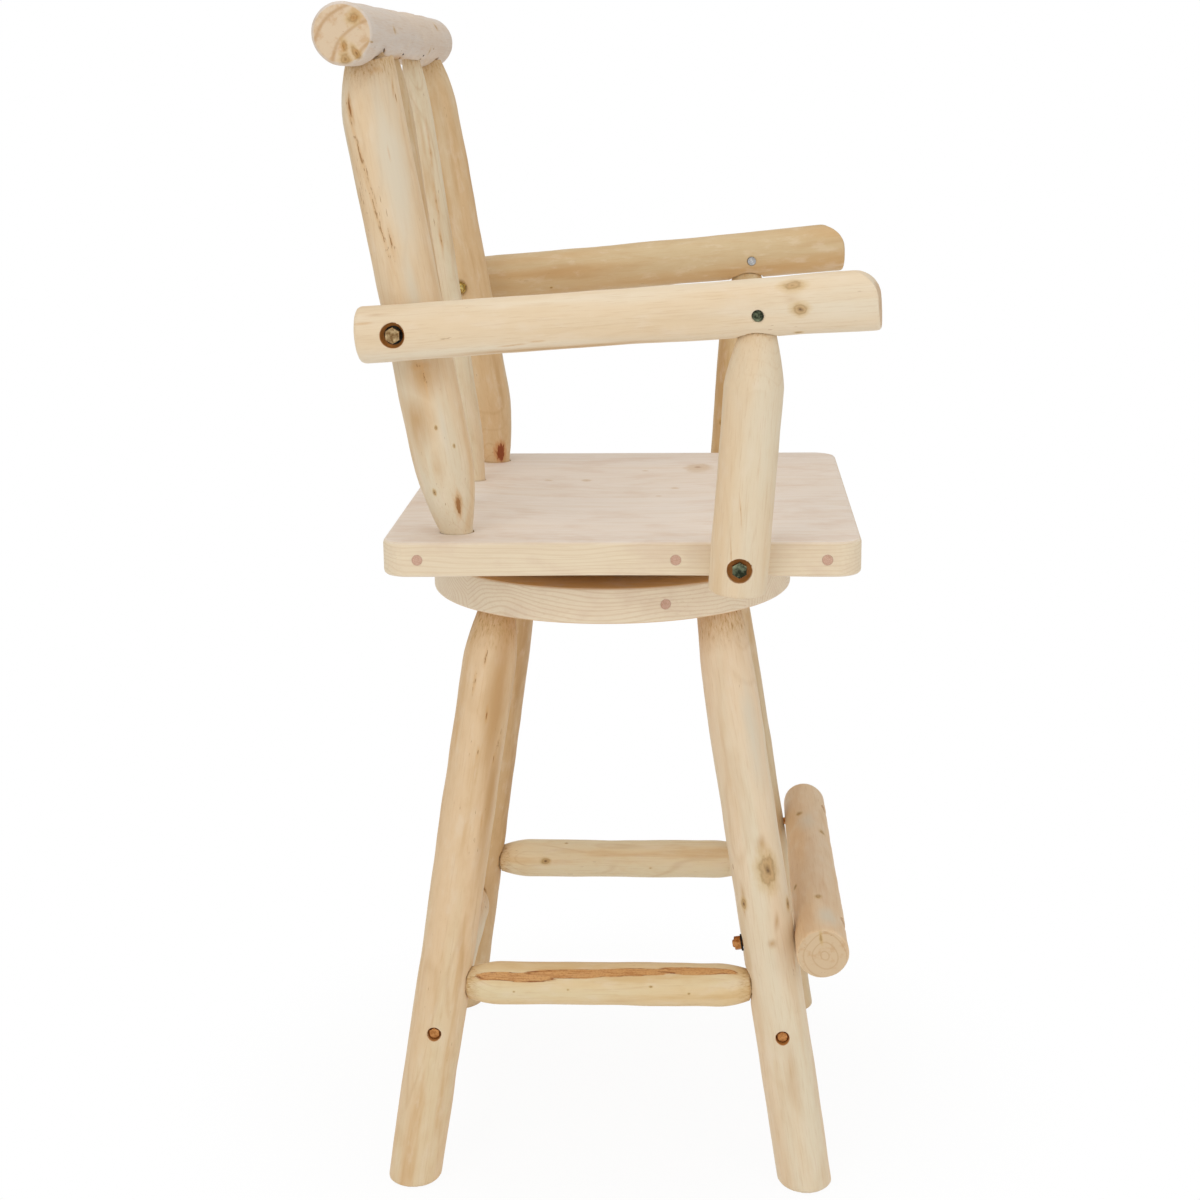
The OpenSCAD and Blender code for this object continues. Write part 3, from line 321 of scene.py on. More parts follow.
class Canvas(Graph):
    """A material under construction: its shader, its colour in layers and its relief."""

    def __init__(self, name: str, base: str) -> None:
        """Starts a material.

        Args:
            name: The material's name.
            base: The colour underneath, as hex.
        """
        self.material = bpy.data.materials.new(name)
        super().__init__(self.material)
        self.point = self.add("TexCoord", output="Object")
        self.normal = self.point.node.outputs["Normal"]
        self.colour: Socket | Colour = linear(base)
        self.height: Socket | float = 0.0

    def in_mm(self) -> Socket:
        """Gives the object coordinates in millimetres."""
        return self.add("VectorMath:SCALE", {0: self.point, "Scale": 1 / MM})

    def noise(
        self, point: Socket, sizes: Triple, offset: Triple = (0.0, 0.0, 0.0), detail: float = 3.0,
        roughness: float = 0.55, output: str = "Fac",
    ) -> Socket:
        """Lays a noise whose grains have the given sizes.

        Args:
            point: The point in millimetres.
            sizes: Size of a grain in each direction, in millimetres.
            offset: Shift of the pattern, in grains.
            detail: Number of finer noises added.
            roughness: Strength of the finer noises.
            output: Which output of the noise is wanted.

        Returns:
            The noise.
        """
        scale = tuple(1 / size for size in sizes)
        scaled = self.add("Mapping", {"Vector": point, "Location": offset, "Scale": scale})
        return self.add("TexNoise", {
            "Vector": scaled, "Scale": 1.0, "Detail": detail, "Roughness": roughness}, output)

    def reach(
        self, point: Socket, spots: list[Spot], frays: tuple[tuple[Socket, float], ...] = ()
    ) -> Socket:
        """Measures how far a point is from the nearest mark, in the mark's own size.

        Args:
            point: The point in the spots' axes.
            spots: The marks' places.
            frays: Patterns that fray the marks' edges, each with its strength.

        Returns:
            0 in the middle of a mark and 1 at its edge, and more where it is faint or frayed.
        """
        nearest = FAR_AWAY
        for spot in spots:
            place = self.add("Mapping", (point, spot.middle, spot.turn, spot.half), vector_type="TEXTURE")
            distance = self.add("VectorMath:LENGTH", (place,), "Value")
            distance = self.add("Math:ADD", (distance, spot.faint))
            nearest = self.add("Math:MINIMUM", (nearest, distance))
        for pattern, strength in frays:
            nearest = self.add("Math:MULTIPLY_ADD", (pattern, strength, nearest))
        return nearest

    def layer(
        self, colour: str | Socket, pattern: Socket, span: Pair | None = None,
        cover: Pair = (0.0, 1.0), within: tuple[Socket | float, ...] = (),
    ) -> None:
        """Puts a layer of colour over what is there.

        Args:
            colour: The layer's colour, as hex or as a colour output.
            pattern: Where it shows, from 0 to 1 where no span is given.
            span: The pattern's values where the layer starts to show and where it shows most.
            cover: How much of the layer shows at either value.
            within: Masks and shares that the layer is kept to.
        """
        if span:
            pattern = self.add("MapRange", (pattern, *span, *cover), **SMOOTH)
        for share in within:
            pattern = self.add("Math:MULTIPLY", (pattern, share))
        over = linear(colour) if isinstance(colour, str) else colour
        self.colour = self.add("Mix", {"Factor": pattern, 6: self.colour, 7: over}, 2, data_type="RGBA")

    def raise_by(self, pattern: Socket, millimetres: float, mask: Socket | float = 1.0) -> None:
        """Raises the surface by a pattern within a mask."""
        masked = self.add("Math:MULTIPLY", (pattern, mask))
        self.height = self.add("Math:MULTIPLY_ADD", (masked, millimetres, self.height))

    def finish(self, roughness: Socket | float, metallic: float = 0.0) -> bpy.types.Material:
        """Adds the shader, with the colour and the relief linked to it.

        Args:
            roughness: The roughness.
            metallic: 1 for a bare metal and 0 for all else.

        Returns:
            The finished material.
        """
        bump = self.add("Bump", {"Strength": 1.0, "Distance": MM, "Height": self.height})
        surface = self.add("BsdfPrincipled", {
            "Base Color": self.colour, "Roughness": roughness, "Metallic": metallic, "Normal": bump})
        self.add("OutputMaterial", (surface,))
        return self.material


# Colours across a knot, from its heart outwards: place, colour and cover
KNOT_STOPS = (
    (0.06, "6C471A", 0.9), (0.16, "9D7430", 0.8), (0.30, "BD9046", 0.66), (0.42, "A67C32", 0.7),
    (0.52, "C6A058", 0.5), (0.72, "D4B170", 0.25), (0.92, "DDC08C", 0.0),
)
# Where in a mark's reach those places start, and the scale from the reach to them
KNOT_START = 0.4
KNOT_SCALE = 0.6
# How deep knots and wide places reach into the wood, in millimetres
KNOT_DEPTH = 9.0
ZONE_DEPTH = 24.0
# How far the rings' pith wanders, in millimetres
RING_DRIFT = 26.0
# Shares of a growth ring where its late wood starts and where it is darkest
FIR_LATE_WOOD = (0.36, 0.5)
# How squarely a face looks along the log where a sawn end starts, and where it is sure
END_FACING = (0.8, 0.95)
# Colour of the wide pale places: paler wood, and painted grey reflection on the right back post
PALE_TONE_AND_REFLECTION = "E0D5C0"
# Colour of the wide darker places: tan wood, and painted shade under the right arm
TAN_TONE_AND_SHADE = "C59C68"
# Colours of a stain: its outside and its heart; also used as painted shade where one part meets another
BROWN_STAIN_AND_SHADE = ("D0A268", "9E6A33")
RESIN = ("C47224", "8C3C06")
# Level of the noise where dashes start to show, and how far more dashes lower it
DASH_LEVEL = 0.965
DASH_SHARE = 0.075
# Far knots: how deep they lie and the least width, in millimetres, their length next to it, how
# far round the far side they spread in degrees, the share of the log left free at either end,
# and the step that scatters them
FAR_KNOT_DEPTH = 24.0
FAR_KNOT_WIDTH = 6.0
FAR_KNOT_STRETCH = 1.7
FAR_KNOT_SPREAD = 150.0
FREE_END = 0.1
GOLDEN_SHARE = 0.618034


@dataclass(frozen=True)
class PeeledFir:
    """Young fir log, peeled of its bark and shaved with a draw-knife, left unfinished.

    To the eye: peach and cool cream wood in long soft bands, fine brown dashes along the fibres,
    nested ring lines where the blade cut through them, long flats, golden knots with darker
    hearts, ginger bast left in stripes, torn fibres browned with painted shade where the necks
    enter their holes, and rings on the sawn ends.

    Attributes:
        log: The CAD node that the log stands for.
        seed: Shifts the patterns, so that no two logs are alike.
        body: Colour of the warm wood.
        cream: Colour of the cooler, paler bands.
        shade: Colour of the tan bands.
        knots: The knots.
        stripes: Stripes of bast.
        streaks: Long soft stains that run with the fibres; a few are painted shade where another part meets
            the log.
        resin: Pockets of orange-brown resin.
        cracks: Thin lines of torn flecks.
        pale: Wide pale places; on the right back post they are painted grey reflection.
        tan: Wide darker places; under the right arm, on the arm and on its post, they are partly painted
            shade.
        mottle: How strongly the tan bands and blotches show, from 0 to 1.
        ring_mm: Step between growth rings.
        pith: Where their pith lies from the middle line, in millimetres and the frame's axes.
        necks: Which ends are narrowed.
        torn_mm: How far from the log's end the fibres are torn and browned with painted shade.
        sinks: Middle lines of the bolts in the log's sunk holes.
        sink_mm: Radius of those holes.
        dashes: How many brown dashes are left, from 0 to 1.
        far_knots: Number of small knots on the side that the photograph doesn't show.
        end_rings: How clearly the rings show on the sawn ends, from 0 to 1.
        end_colour: Colour of the sawn ends.
        roughness: The roughness between the fibres and on them.
    """

    log: str
    seed: float
    body: str = "E7CCA8"
    cream: str = "E6D9BD"
    shade: str = "D3B183"
    knots: tuple[Mark, ...] = ()
    stripes: tuple[Mark, ...] = ()
    streaks: tuple[Mark, ...] = ()
    resin: tuple[Mark, ...] = ()
    cracks: tuple[Mark, ...] = ()
    pale: tuple[Mark, ...] = ()
    tan: tuple[Mark, ...] = ()
    mottle: float = 1.0
    ring_mm: float = 3.2
    pith: Triple = (0.0, 0.0, 0.0)
    necks: Necks = Necks.NONE
    torn_mm: float = 60.0
    sinks: tuple[LogAxis, ...] = ()
    sink_mm: float = 11.0
    dashes: float = 0.5
    far_knots: int = 4
    end_rings: float = 0.5
    end_colour: str = "DFC4A2"
    roughness: Pair = (0.5, 0.68)


class FirCanvas(Canvas):
    """A peeled log's material under construction."""

    def __init__(self, look: PeeledFir, piece: Piece, body: str) -> None:
        """Starts the log's material.

        Args:
            look: The log's finish.
            piece: The shaved log, whose object coordinates the material reads.
            body: The body that it rides on.
        """
        super().__init__("peeled_fir_" + look.log, look.body)
        self.look, self.piece, self.sight = look, piece, SIGHTS[body]
        self.axis = LogAxis.of(piece)
        self.local = self.axis.local(self, self.point)
        # Drawn far wider than real fibres, so that they show
        self.fibre = self.grain(1.4, 34.0, 1.7, 4.0, 0.62)

    def paint(self) -> bpy.types.Material:
        """Lays every layer, from the bands of the wood to the sunk holes.

        Returns:
            The finished material.
        """
        self._bands()
        late_wood = self._rings()
        self._zones(self.look.pale, PALE_TONE_AND_REFLECTION)
        self._zones(self.look.tan, TAN_TONE_AND_SHADE)
        if self.look.necks is not Necks.NONE:
            self._torn_and_shaded_necks()
        self._sawn_ends(late_wood)
        self._dashes()
        self._stains(self.look.streaks, BROWN_STAIN_AND_SHADE)
        self._stains(self.look.resin, RESIN)
        self._cracks()
        self._bast()
        self._knots()
        self._sunk_holes()
        return self.finish(self.add("MapRange", (self.fibre, 0.3, 0.7, *self.look.roughness), **SMOOTH))

    def grain(self, across: float, along: float, shift: float, *finer: float | str) -> Socket:
        """Lays a noise whose grains run with the fibres; finer holds its detail, roughness and output."""
        own = self.look.seed * shift
        return self.noise(self.local, (across, across, along), (own, own * 0.7, own * 1.3), *finer)

    def _from_line(self, point: Socket) -> Socket:
        """Gives a point's distance from the Z axis of its own axes."""
        flat = self.add("VectorMath:MULTIPLY", (point, (1.0, 1.0, 0.0)))
        return self.add("VectorMath:LENGTH", (flat,), "Value")

    def _spots(self, marks: tuple[Mark, ...], depth: float = KNOT_DEPTH) -> list[Spot]:
        """Finds the marks' places on the log.

        Args:
            marks: The marks.
            depth: How far they reach into the wood.

        Returns:
            Their places.
        """
        spots = []
        for mark in marks:
            middle = self.axis.spot(self.sight.find(self.piece, mark))
            turn = (math.radians(mark.skew), 0.0, math.atan2(middle.y, middle.x))
            half = (depth, mark.width / 2, mark.length / 2)
            spots.append(Spot(tuple(middle), turn, half, mark.faint))
        return spots

    def _far_spots(self) -> list[Spot]:
        """Spreads small knots over the side that the photograph doesn't show.

        Returns:
            Their places.
        """
        away = self.axis.turn().inverted() @ Vector((1.0, 0.0, 0.0))
        back = math.atan2(away.y, away.x)
        number_of_knots = self.look.far_knots
        spots = []
        for number in range(number_of_knots):
            chance = (self.look.seed + number) * GOLDEN_SHARE % 1.0
            turn = back + math.radians(FAR_KNOT_SPREAD) * (chance - 0.5)
            share = FREE_END + (1.0 - 2 * FREE_END) * (number + chance) / number_of_knots
            along = self.axis.length_mm() * share
            middle = (FAR_KNOT_DEPTH * math.cos(turn), FAR_KNOT_DEPTH * math.sin(turn), along)
            size = FAR_KNOT_WIDTH * (1.0 + chance)
            half = (KNOT_DEPTH, size / 2, size * FAR_KNOT_STRETCH / 2)
            spots.append(Spot(middle, (0.0, 0.0, turn), half, 0.4 * chance))
        return spots

    def _bands(self) -> None:
        """Lays the bands of cream and tan, the soft blotches and the fibres."""
        look = self.look
        cool = self.grain(44.0, 420.0, 3.1, 2.0)
        self.layer(look.cream, cool, (0.36, 0.64))
        warm = self.grain(17.0, 150.0, 5.3)
        self.layer(look.shade, warm, (0.5, 0.72), (0.0, 0.7 * look.mottle))
        blotch = self.grain(11.0, 26.0, 2.2, 4.0, 0.6)
        self.layer(look.shade, blotch, (0.5, 0.75), (0.0, 0.3 * look.mottle))
        self.layer("F0E0CB", blotch, (0.5, 0.28), (0.0, 0.3))
        self.layer("C7A06E", self.fibre, (0.5, 0.74), (0.0, 0.26))
        self.raise_by(self.fibre, 0.1)

    def _rings(self) -> Socket:
        """Lays growth rings about a wandering pith, faint along the log where the blade cut them.

        Returns:
            The dark late wood of the rings, from 0 to 1.
        """
        ring_mm = self.look.ring_mm
        sideways = Vector((RING_DRIFT, RING_DRIFT, 0.0))
        drift = self.grain(70.0, 330.0, 2.3, 1.5, 0.4, "Color")
        moved = self.add("VectorMath:MULTIPLY_ADD", (drift, sideways, self.local))
        pith = self.axis.turn().inverted() @ Vector(self.look.pith) + sideways / 2
        moved = self.add("VectorMath:SUBTRACT", (moved, pith))
        ring = self.add("Math:PINGPONG", (self._from_line(moved), ring_mm / 2))
        start, darkest = FIR_LATE_WOOD
        late_wood = self.add("MapRange", (ring, ring_mm * start, ring_mm * darkest), **SMOOTH)
        cut_through = self.grain(40.0, 120.0, 9.1, 1.0)
        self.layer("C69D68", cut_through, (0.4, 0.62), (0.02, 0.25 * self.look.mottle), (late_wood,))
        return late_wood

    def _torn_and_shaded_necks(self) -> None:
        """Browns and roughens the necks, fading along them: torn fibres and painted shade at their joints."""
        full, torn_mm = self.axis.length_mm(), self.look.torn_mm
        along = self.add("SeparateXYZ", (self.local,), 2)
        neck = self.add("MapRange", (along, full - torn_mm, full - torn_mm / 2), **SMOOTH)
        if self.look.necks is Necks.BOTH:
            low = self.add("MapRange", (along, torn_mm, torn_mm / 2), **SMOOTH)
            neck = self.add("Math:MAXIMUM", (neck, low))
        torn = self.grain(2.0, 9.0, 6.1, 4.0, 0.7)
        # Brown of the necks: torn fibres, partly painted shade where they enter other parts
        self.layer("CDA66E", torn, (0.3, 0.66), (0.2, 0.85), (neck,))
        self.layer("A87A42", torn, (0.54, 0.72), within=(neck,))
        self.raise_by(torn, 0.7, neck)

    def _sawn_ends(self, late_wood: Socket) -> None:
        """Draws the rings and the saw's bruises on the sawn ends.

        Args:
            late_wood: The late wood of the rings.
        """
        facing = self.add("VectorMath:DOT_PRODUCT", (self.normal, self.axis.way()), "Value")
        facing = self.add("Math:ABSOLUTE", (facing,))
        ends = self.add("MapRange", (facing, *END_FACING), **SMOOTH)
        self.layer(self.look.end_colour, ends)
        bruised = self.grain(8.0, 8.0, 8.8)
        self.layer("CFAA80", bruised, (0.48, 0.7), (0.0, 0.7), (ends,))
        self.layer("BC9262", late_wood, within=(ends, self.look.end_rings))

    def _zones(self, marks: tuple[Mark, ...], colour: str) -> None:
        """Lays wide, soft places, paler or darker than the wood around them; some are painted reflection and
        some painted shade.

        Args:
            marks: The places.
            colour: Their colour, as hex.
        """
        if not marks:
            return
        cloudy = self.grain(12.0, 60.0, 5.9)
        reach = self.reach(self.local, self._spots(marks, ZONE_DEPTH), ((cloudy, 0.8),))
        self.layer(colour, reach, (1.7, 0.5), (0.0, 0.9))

    def _dashes(self) -> None:
        """Scatters thin brown dashes of bast, in loose groups."""
        thin = self.grain(1.6, 15.0, 8.3, 2.0, 0.5)
        group = self.grain(16.0, 60.0, 6.6, 1.0)
        sparse = self.add("Math:MULTIPLY_ADD", (group, 0.35, thin))
        level = DASH_LEVEL - DASH_SHARE * self.look.dashes
        self.layer("A27440", sparse, (level, level + 0.05), (0.0, 0.7))

    def _stains(self, marks: tuple[Mark, ...], colours: tuple[str, str]) -> None:
        """Draws the long soft stains that run with the fibres, with broken darker hearts; some are painted
        shade where parts meet.

        Args:
            marks: The stains.
            colours: The colours of their outsides and hearts, as hex.
        """
        if not marks:
            return
        cloudy = self.grain(3.0, 14.0, 4.1, 4.0, 0.6)
        reach = self.reach(self.local, self._spots(marks), ((cloudy, 1.2), (self.fibre, 0.5)))
        self.layer(colours[0], reach, (2.0, 1.2), (0.0, 0.6))
        self.layer(colours[1], reach, (1.4, 1.1), (0.0, 0.95))

    def _cracks(self) -> None:
        """Draws thin lines of torn brown flecks, with a faint warm stain about them."""
        if not self.look.cracks:
            return
        reach = self.reach(self.local, self._spots(self.look.cracks, ZONE_DEPTH))
        self.layer("D9AC72", reach, (2.0, 0.4), (0.0, 0.45))
        broken = self.grain(1.5, 7.0, 7.4, 3.0, 0.6)
        torn = self.add("Math:MULTIPLY_ADD", (reach, -0.16, broken))
        self.layer("A2713B", torn, (0.4, 0.5), (0.0, 0.75))
        self.raise_by(self.add("MapRange", (torn, 0.4, 0.5), **SMOOTH), -0.3)

    def _bast(self) -> None:
        """Draws the ragged ginger stripes of bast, grainy inside and dark at their edges."""
        if not self.look.stripes:
            return
        coarse = self.grain(3.0, 22.0, 3.7, 3.0, 0.6)
        frays = ((coarse, 0.75), (self.fibre, 0.4))
        frayed = self.reach(self.local, self._spots(self.look.stripes), frays)
        stripe = self.add("MapRange", (frayed, 1.58, 1.42), **SMOOTH)
        grit = self.grain(1.5, 2.2, 1.9, 3.0, 0.7)
        strand = self.grain(1.6, 26.0, 5.1, 3.0, 0.6)
        self.layer("D8A264", stripe, within=(0.9,))
        self.layer("B8783D", grit, (0.45, 0.68), (0.0, 0.6), (stripe,))
        self.layer("AE6D32", strand, (0.49, 0.64), (0.0, 0.55), (stripe,))
        rim = self.add("MapRange", (frayed, 1.32, 1.46), **SMOOTH)
        self.layer("8A4E20", coarse, (0.42, 0.55), within=(stripe, rim))
        self.raise_by(stripe, -0.4)
        self.raise_by(grit, 0.5, stripe)

    def _knots(self) -> None:
        """Draws the knots: a brown heart, a dark rim and a stained halo, slightly proud."""
        ragged = self.grain(5.0, 9.0, 2.9)
        spots = self._spots(self.look.knots) + self._far_spots()
        reach = self.reach(self.local, spots, ((ragged, 0.8),))
        inner = self.add("Math:SUBTRACT", (reach, KNOT_START))
        inner = self.add("Math:MULTIPLY", (inner, KNOT_SCALE))
        tint, cover = self.add("ValToRGB", (inner,)), self.add("ValToRGB", (inner,))
        for ramp in (tint, cover):
            elements = ramp.node.color_ramp.elements
            while len(elements) < len(KNOT_STOPS):
                elements.new(1.0)
            for element, (place, colour, amount) in zip(elements, KNOT_STOPS):
                element.position = place
                element.color = linear(colour) if ramp is tint else (amount, amount, amount, 1.0)
        self.layer(tint, cover)
        self.raise_by(self.add("MapRange", (inner, 0.7, 0.1), **SMOOTH), 0.8)

    def _sunk_holes(self) -> None:
        """Browns the raw wood inside the sunk holes for bolt heads."""
        for bolt in self.look.sinks:
            away = self._from_line(bolt.local(self, self.point))
            self.layer("B8793A", away, (self.look.sink_mm + 0.8, self.look.sink_mm))


@dataclass(frozen=True)
class PlanedPine:
    """Pine boards glued edge to edge, planed and sanded, left unfinished.

    To the eye: paler and pinker than the logs, with long soft ring lines on the faces, close
    level lines on the edges, arcs of rings on the end grain, and a few small knots.

    Attributes:
        name: The material's name.
        top: The level of the board's top face, in metres.
        board_mm: Width of one board.
        knots: The knots.
        body: Colour of the early wood.
        late: Colour of the late wood.
        lines: How strongly the rings show on the edges.
        top_lines: The same on the faces, which are sanded more.
        top_colour_and_shade: Colour of the faces; on the round board it is painted shade, the warm brown of
            the gap under the seat.
        ring_mm: Step between growth rings.
        pith_mm: How far under the top face the highest pith lies.
        pith_spread: How far the boards' piths lie apart, across and in depth.
        drift_mm: How far a pith wanders along the board.
        late_mm: How far from the middle of the early wood the late wood starts and is darkest.
        tint: How much a board's own tint shows, from 0 to 1.
        roughness: The roughness.
    """

    name: str
    top: float
    board_mm: float
    knots: tuple[Mark, ...] = ()
    body: str = "EFDFC4"
    late: str = "D9BE9A"
    lines: float = 0.3
    top_lines: float = 0.09
    top_colour_and_shade: str = "F1E6DC"
    ring_mm: float = 3.8
    pith_mm: float = 48.0
    pith_spread: Pair = (70.0, 60.0)
    drift_mm: float = 40.0
    late_mm: Pair = (0.9, 1.85)
    tint: float = 0.25
    roughness: float = 0.62


class PineCanvas(Canvas):
    """The glued boards' material under construction."""

    def __init__(self, look: PlanedPine, board: Piece) -> None:
        """Starts the boards' material.

        Args:
            look: The finish.
            board: The board, whose object coordinates the material reads.
        """
        super().__init__(look.name, look.body)
        self.look, self.board = look, board
        self.local = self.in_mm()

    def paint(self) -> bpy.types.Material:
        """Lays the faces, the rings, the fibres and the knots.

        Returns:
            The finished material.
        """
        look = self.look
        upright = self.add("SeparateXYZ", (self.normal,), 2)
        upright = self.add("Math:ABSOLUTE", (upright,))
        face = self.add("MapRange", (upright, 0.55, 0.9), **SMOOTH)
        # The faces take their own colour; on the round board this is painted shade of the gap under the seat
        self.layer(look.top_colour_and_shade, face)
        late_wood = self._rings()
        soft = self.noise(self.local, (14.0, 170.0, 14.0), (1.0, 2.0, 3.0))
        self.layer("E0C7AA", soft, (0.46, 0.7), (0.0, 0.22))
        blotch = self.noise(self.local, (34.0, 60.0, 34.0), (2.0, 7.0, 5.0), 4.0, 0.6)
        self.layer("DCC2AC", blotch, (0.46, 0.7), (0.0, 0.38))
        strength = self.add("MapRange", (face, 0.0, 1.0, look.lines, look.top_lines), **SMOOTH)
        self.layer(look.late, late_wood, within=(strength,))
        # Drawn far wider than real fibres, so that they show
        fibre = self.noise(self.local, (1.3, 46.0, 1.3), detail=4.0, roughness=0.6)
        self.layer("CFAE88", fibre, (0.5, 0.75), (0.0, 0.28))
        self._knots()
        self.raise_by(late_wood, 0.05)
        self.raise_by(fibre, 0.08)
        return self.finish(look.roughness)

    def _rings(self) -> Socket:
        """Tints each board and lays its growth rings about its own pith, which runs along Y.

        Returns:
            The late wood, from 0 to 1.
        """
        look = self.look
        across = self.add("SeparateXYZ", (self.local,))
        number = self.add("Math:DIVIDE", (across, look.board_mm))
        number = self.add("Math:FLOOR", (number,))
        chance = self.add("TexWhiteNoise", {"W": number}, "Value", noise_dimensions="1D")
        self.layer("E6D0B6", chance, within=(look.tint,))
        other_chance = self.add("SeparateXYZ", (chance.node.outputs["Color"],), 1)
        middle = self.add("Math:MULTIPLY_ADD", (number, look.board_mm, look.board_mm / 2))
        aside = self.add("Math:SUBTRACT", (across, middle))
        aside = self.add("Math:MULTIPLY_ADD", (chance, look.pith_spread[0], aside))
        level = self.add("Math:MULTIPLY_ADD", (other_chance, look.pith_spread[1], across.node.outputs[2]))
        level = self.add("Math:SUBTRACT", (level, look.top / MM - look.pith_mm))
        place = self.add("CombineXYZ", (aside, 0.0, level))
        drift = self.noise(self.local, (80.0, 330.0, 80.0), (4.0, 5.0, 6.0), 2.0, output="Color")
        wander = (look.drift_mm, 0.0, look.drift_mm)
        centre = ((look.pith_spread[0] + look.drift_mm) / 2, 0.0, look.drift_mm / 2)
        place = self.add("VectorMath:MULTIPLY_ADD", (drift, wander, place))
        place = self.add("VectorMath:SUBTRACT", (place, centre))
        from_pith = self.add("VectorMath:LENGTH", (place,), "Value")
        ring = self.add("Math:PINGPONG", (from_pith, look.ring_mm / 2))
        return self.add("MapRange", (ring, *look.late_mm), **SMOOTH)

    def _knots(self) -> None:
        """Draws the boards' knots."""
        if not self.look.knots:
            return
        spots = []
        for mark in self.look.knots:
            middle = SIGHTS["seat"].find(self.board, mark) / MM
            half = (mark.width / 2, mark.length / 2, mark.width)
            spots.append(Spot(tuple(middle), (0.0, 0.0, 0.0), half, mark.faint))
        ragged = self.noise(self.local, (5.0, 9.0, 5.0), (7.0, 8.0, 9.0))
        reach = self.reach(self.local, spots, ((ragged, 0.7),))
        self.layer("CFAE84", reach, (1.7, 1.1), (0.0, 0.5))
        self.layer("AE7F58", reach, (0.9, 0.6), (0.0, 0.55))


@dataclass(frozen=True)
class DowelEndGrain:
    """Birch dowel cut flush with the board: pinkish brown end grain with fine pores."""

    name: str = "birch_dowel_end_grain"
    # Larger than real pores, so that they show
    pore_mm: float = 0.8
    cloud_mm: float = 5.0
    roughness: float = 0.75

    def build(self) -> bpy.types.Material:
        """Builds the dowels' material.

        Returns:
            The material.
        """
        canvas = Canvas(self.name, "C9A18C")
        local = canvas.in_mm()
        pores = canvas.noise(local, (self.pore_mm,) * 3, roughness=0.7)
        canvas.layer("DDBBA8", pores, (0.4, 0.65))
        cloud = canvas.noise(local, (self.cloud_mm,) * 3)
        canvas.layer("B98C74", cloud, (0.5, 0.7), (0.0, 0.5))
        canvas.raise_by(pores, 0.1)
        return canvas.finish(self.roughness)


@dataclass(frozen=True)
class Metal:
    """Plated, blackened or bare metal of the fittings.

    To the eye: a metal whose colour clouds with a lighter painted highlight, and whose polish clouds a little
    with it.

    Attributes:
        name: The material's name.
        colour: Colour of most of it.
        highlight: Colour of the painted highlights, laid in clouds over the metal.
        roughness: Its usual roughness.
        cloud_mm: Size of the clouds.
        polish: The shares of that roughness that the polished and the dull places have.
    """

    name: str
    colour: str
    worn: str
    roughness: float
    cloud_mm: float = 5.0
    polish: Pair = (0.75, 1.3)

    def build(self) -> bpy.types.Material:
        """Builds the metal's material.

        Returns:
            The material.
        """
        canvas = Canvas(self.name, self.colour)
        cloud = canvas.noise(canvas.in_mm(), (self.cloud_mm,) * 3, detail=5.0, roughness=0.65)
        # Painted highlight: clouds of a lighter colour over the metal
        canvas.layer(self.worn, cloud, (0.42, 0.68))
        canvas.raise_by(cloud, 0.04)
        span = [self.roughness * share for share in self.polish]
        return canvas.finish(canvas.add("MapRange", (cloud, 0.3, 0.7, *span), **SMOOTH), 1.0)


def dress(node_name: str, material: bpy.types.Material) -> None:
    """Gives a CAD node its finish.

    Args:
        node_name: The node's name.
        material: Its new material.
    """
    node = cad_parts[node_name]
    node.data.materials.clear()
    node.data.materials.append(material)
    LOG.info("dressed %s in %s", node_name, material.name)


def deselect() -> None:
    """Clears the selection, so that an operator acts on one piece only."""
    bpy.ops.object.select_all(action="DESELECT")


def edit_all(operator: Callable, **settings: object) -> None:
    """Runs a mesh operator on the whole active piece.

    Args:
        operator: The operator.
        settings: The operator's settings by name.
    """
    bpy.ops.object.mode_set(mode="EDIT")
    bpy.ops.mesh.select_all(action="SELECT")
    operator(**settings)
    bpy.ops.object.mode_set(mode="OBJECT")


def texture(name: str, kind: str, **settings: object) -> bpy.types.Texture:
    """Gives a texture for a modifier, made once for all logs.

    Args:
        name: The texture's name.
        kind: Its type.
        settings: Its settings by name.

    Returns:
        The texture.
    """
    pattern = bpy.data.textures.get(name) or bpy.data.textures.new(name, kind)
    for key, value in settings.items():
        setattr(pattern, key, value)
    return pattern


def apply_modifier(piece: Piece, kind: str, **settings: object) -> None:
    """Adds a modifier to a piece and applies it.

    Args:
        piece: The active piece.
        kind: The modifier's type.
        settings: The modifier's settings by name.
    """
    modifier = piece.modifiers.new(kind.lower(), kind)
    for name, value in settings.items():
        setattr(modifier, name, value)
    bpy.ops.object.modifier_apply(modifier=modifier.name)


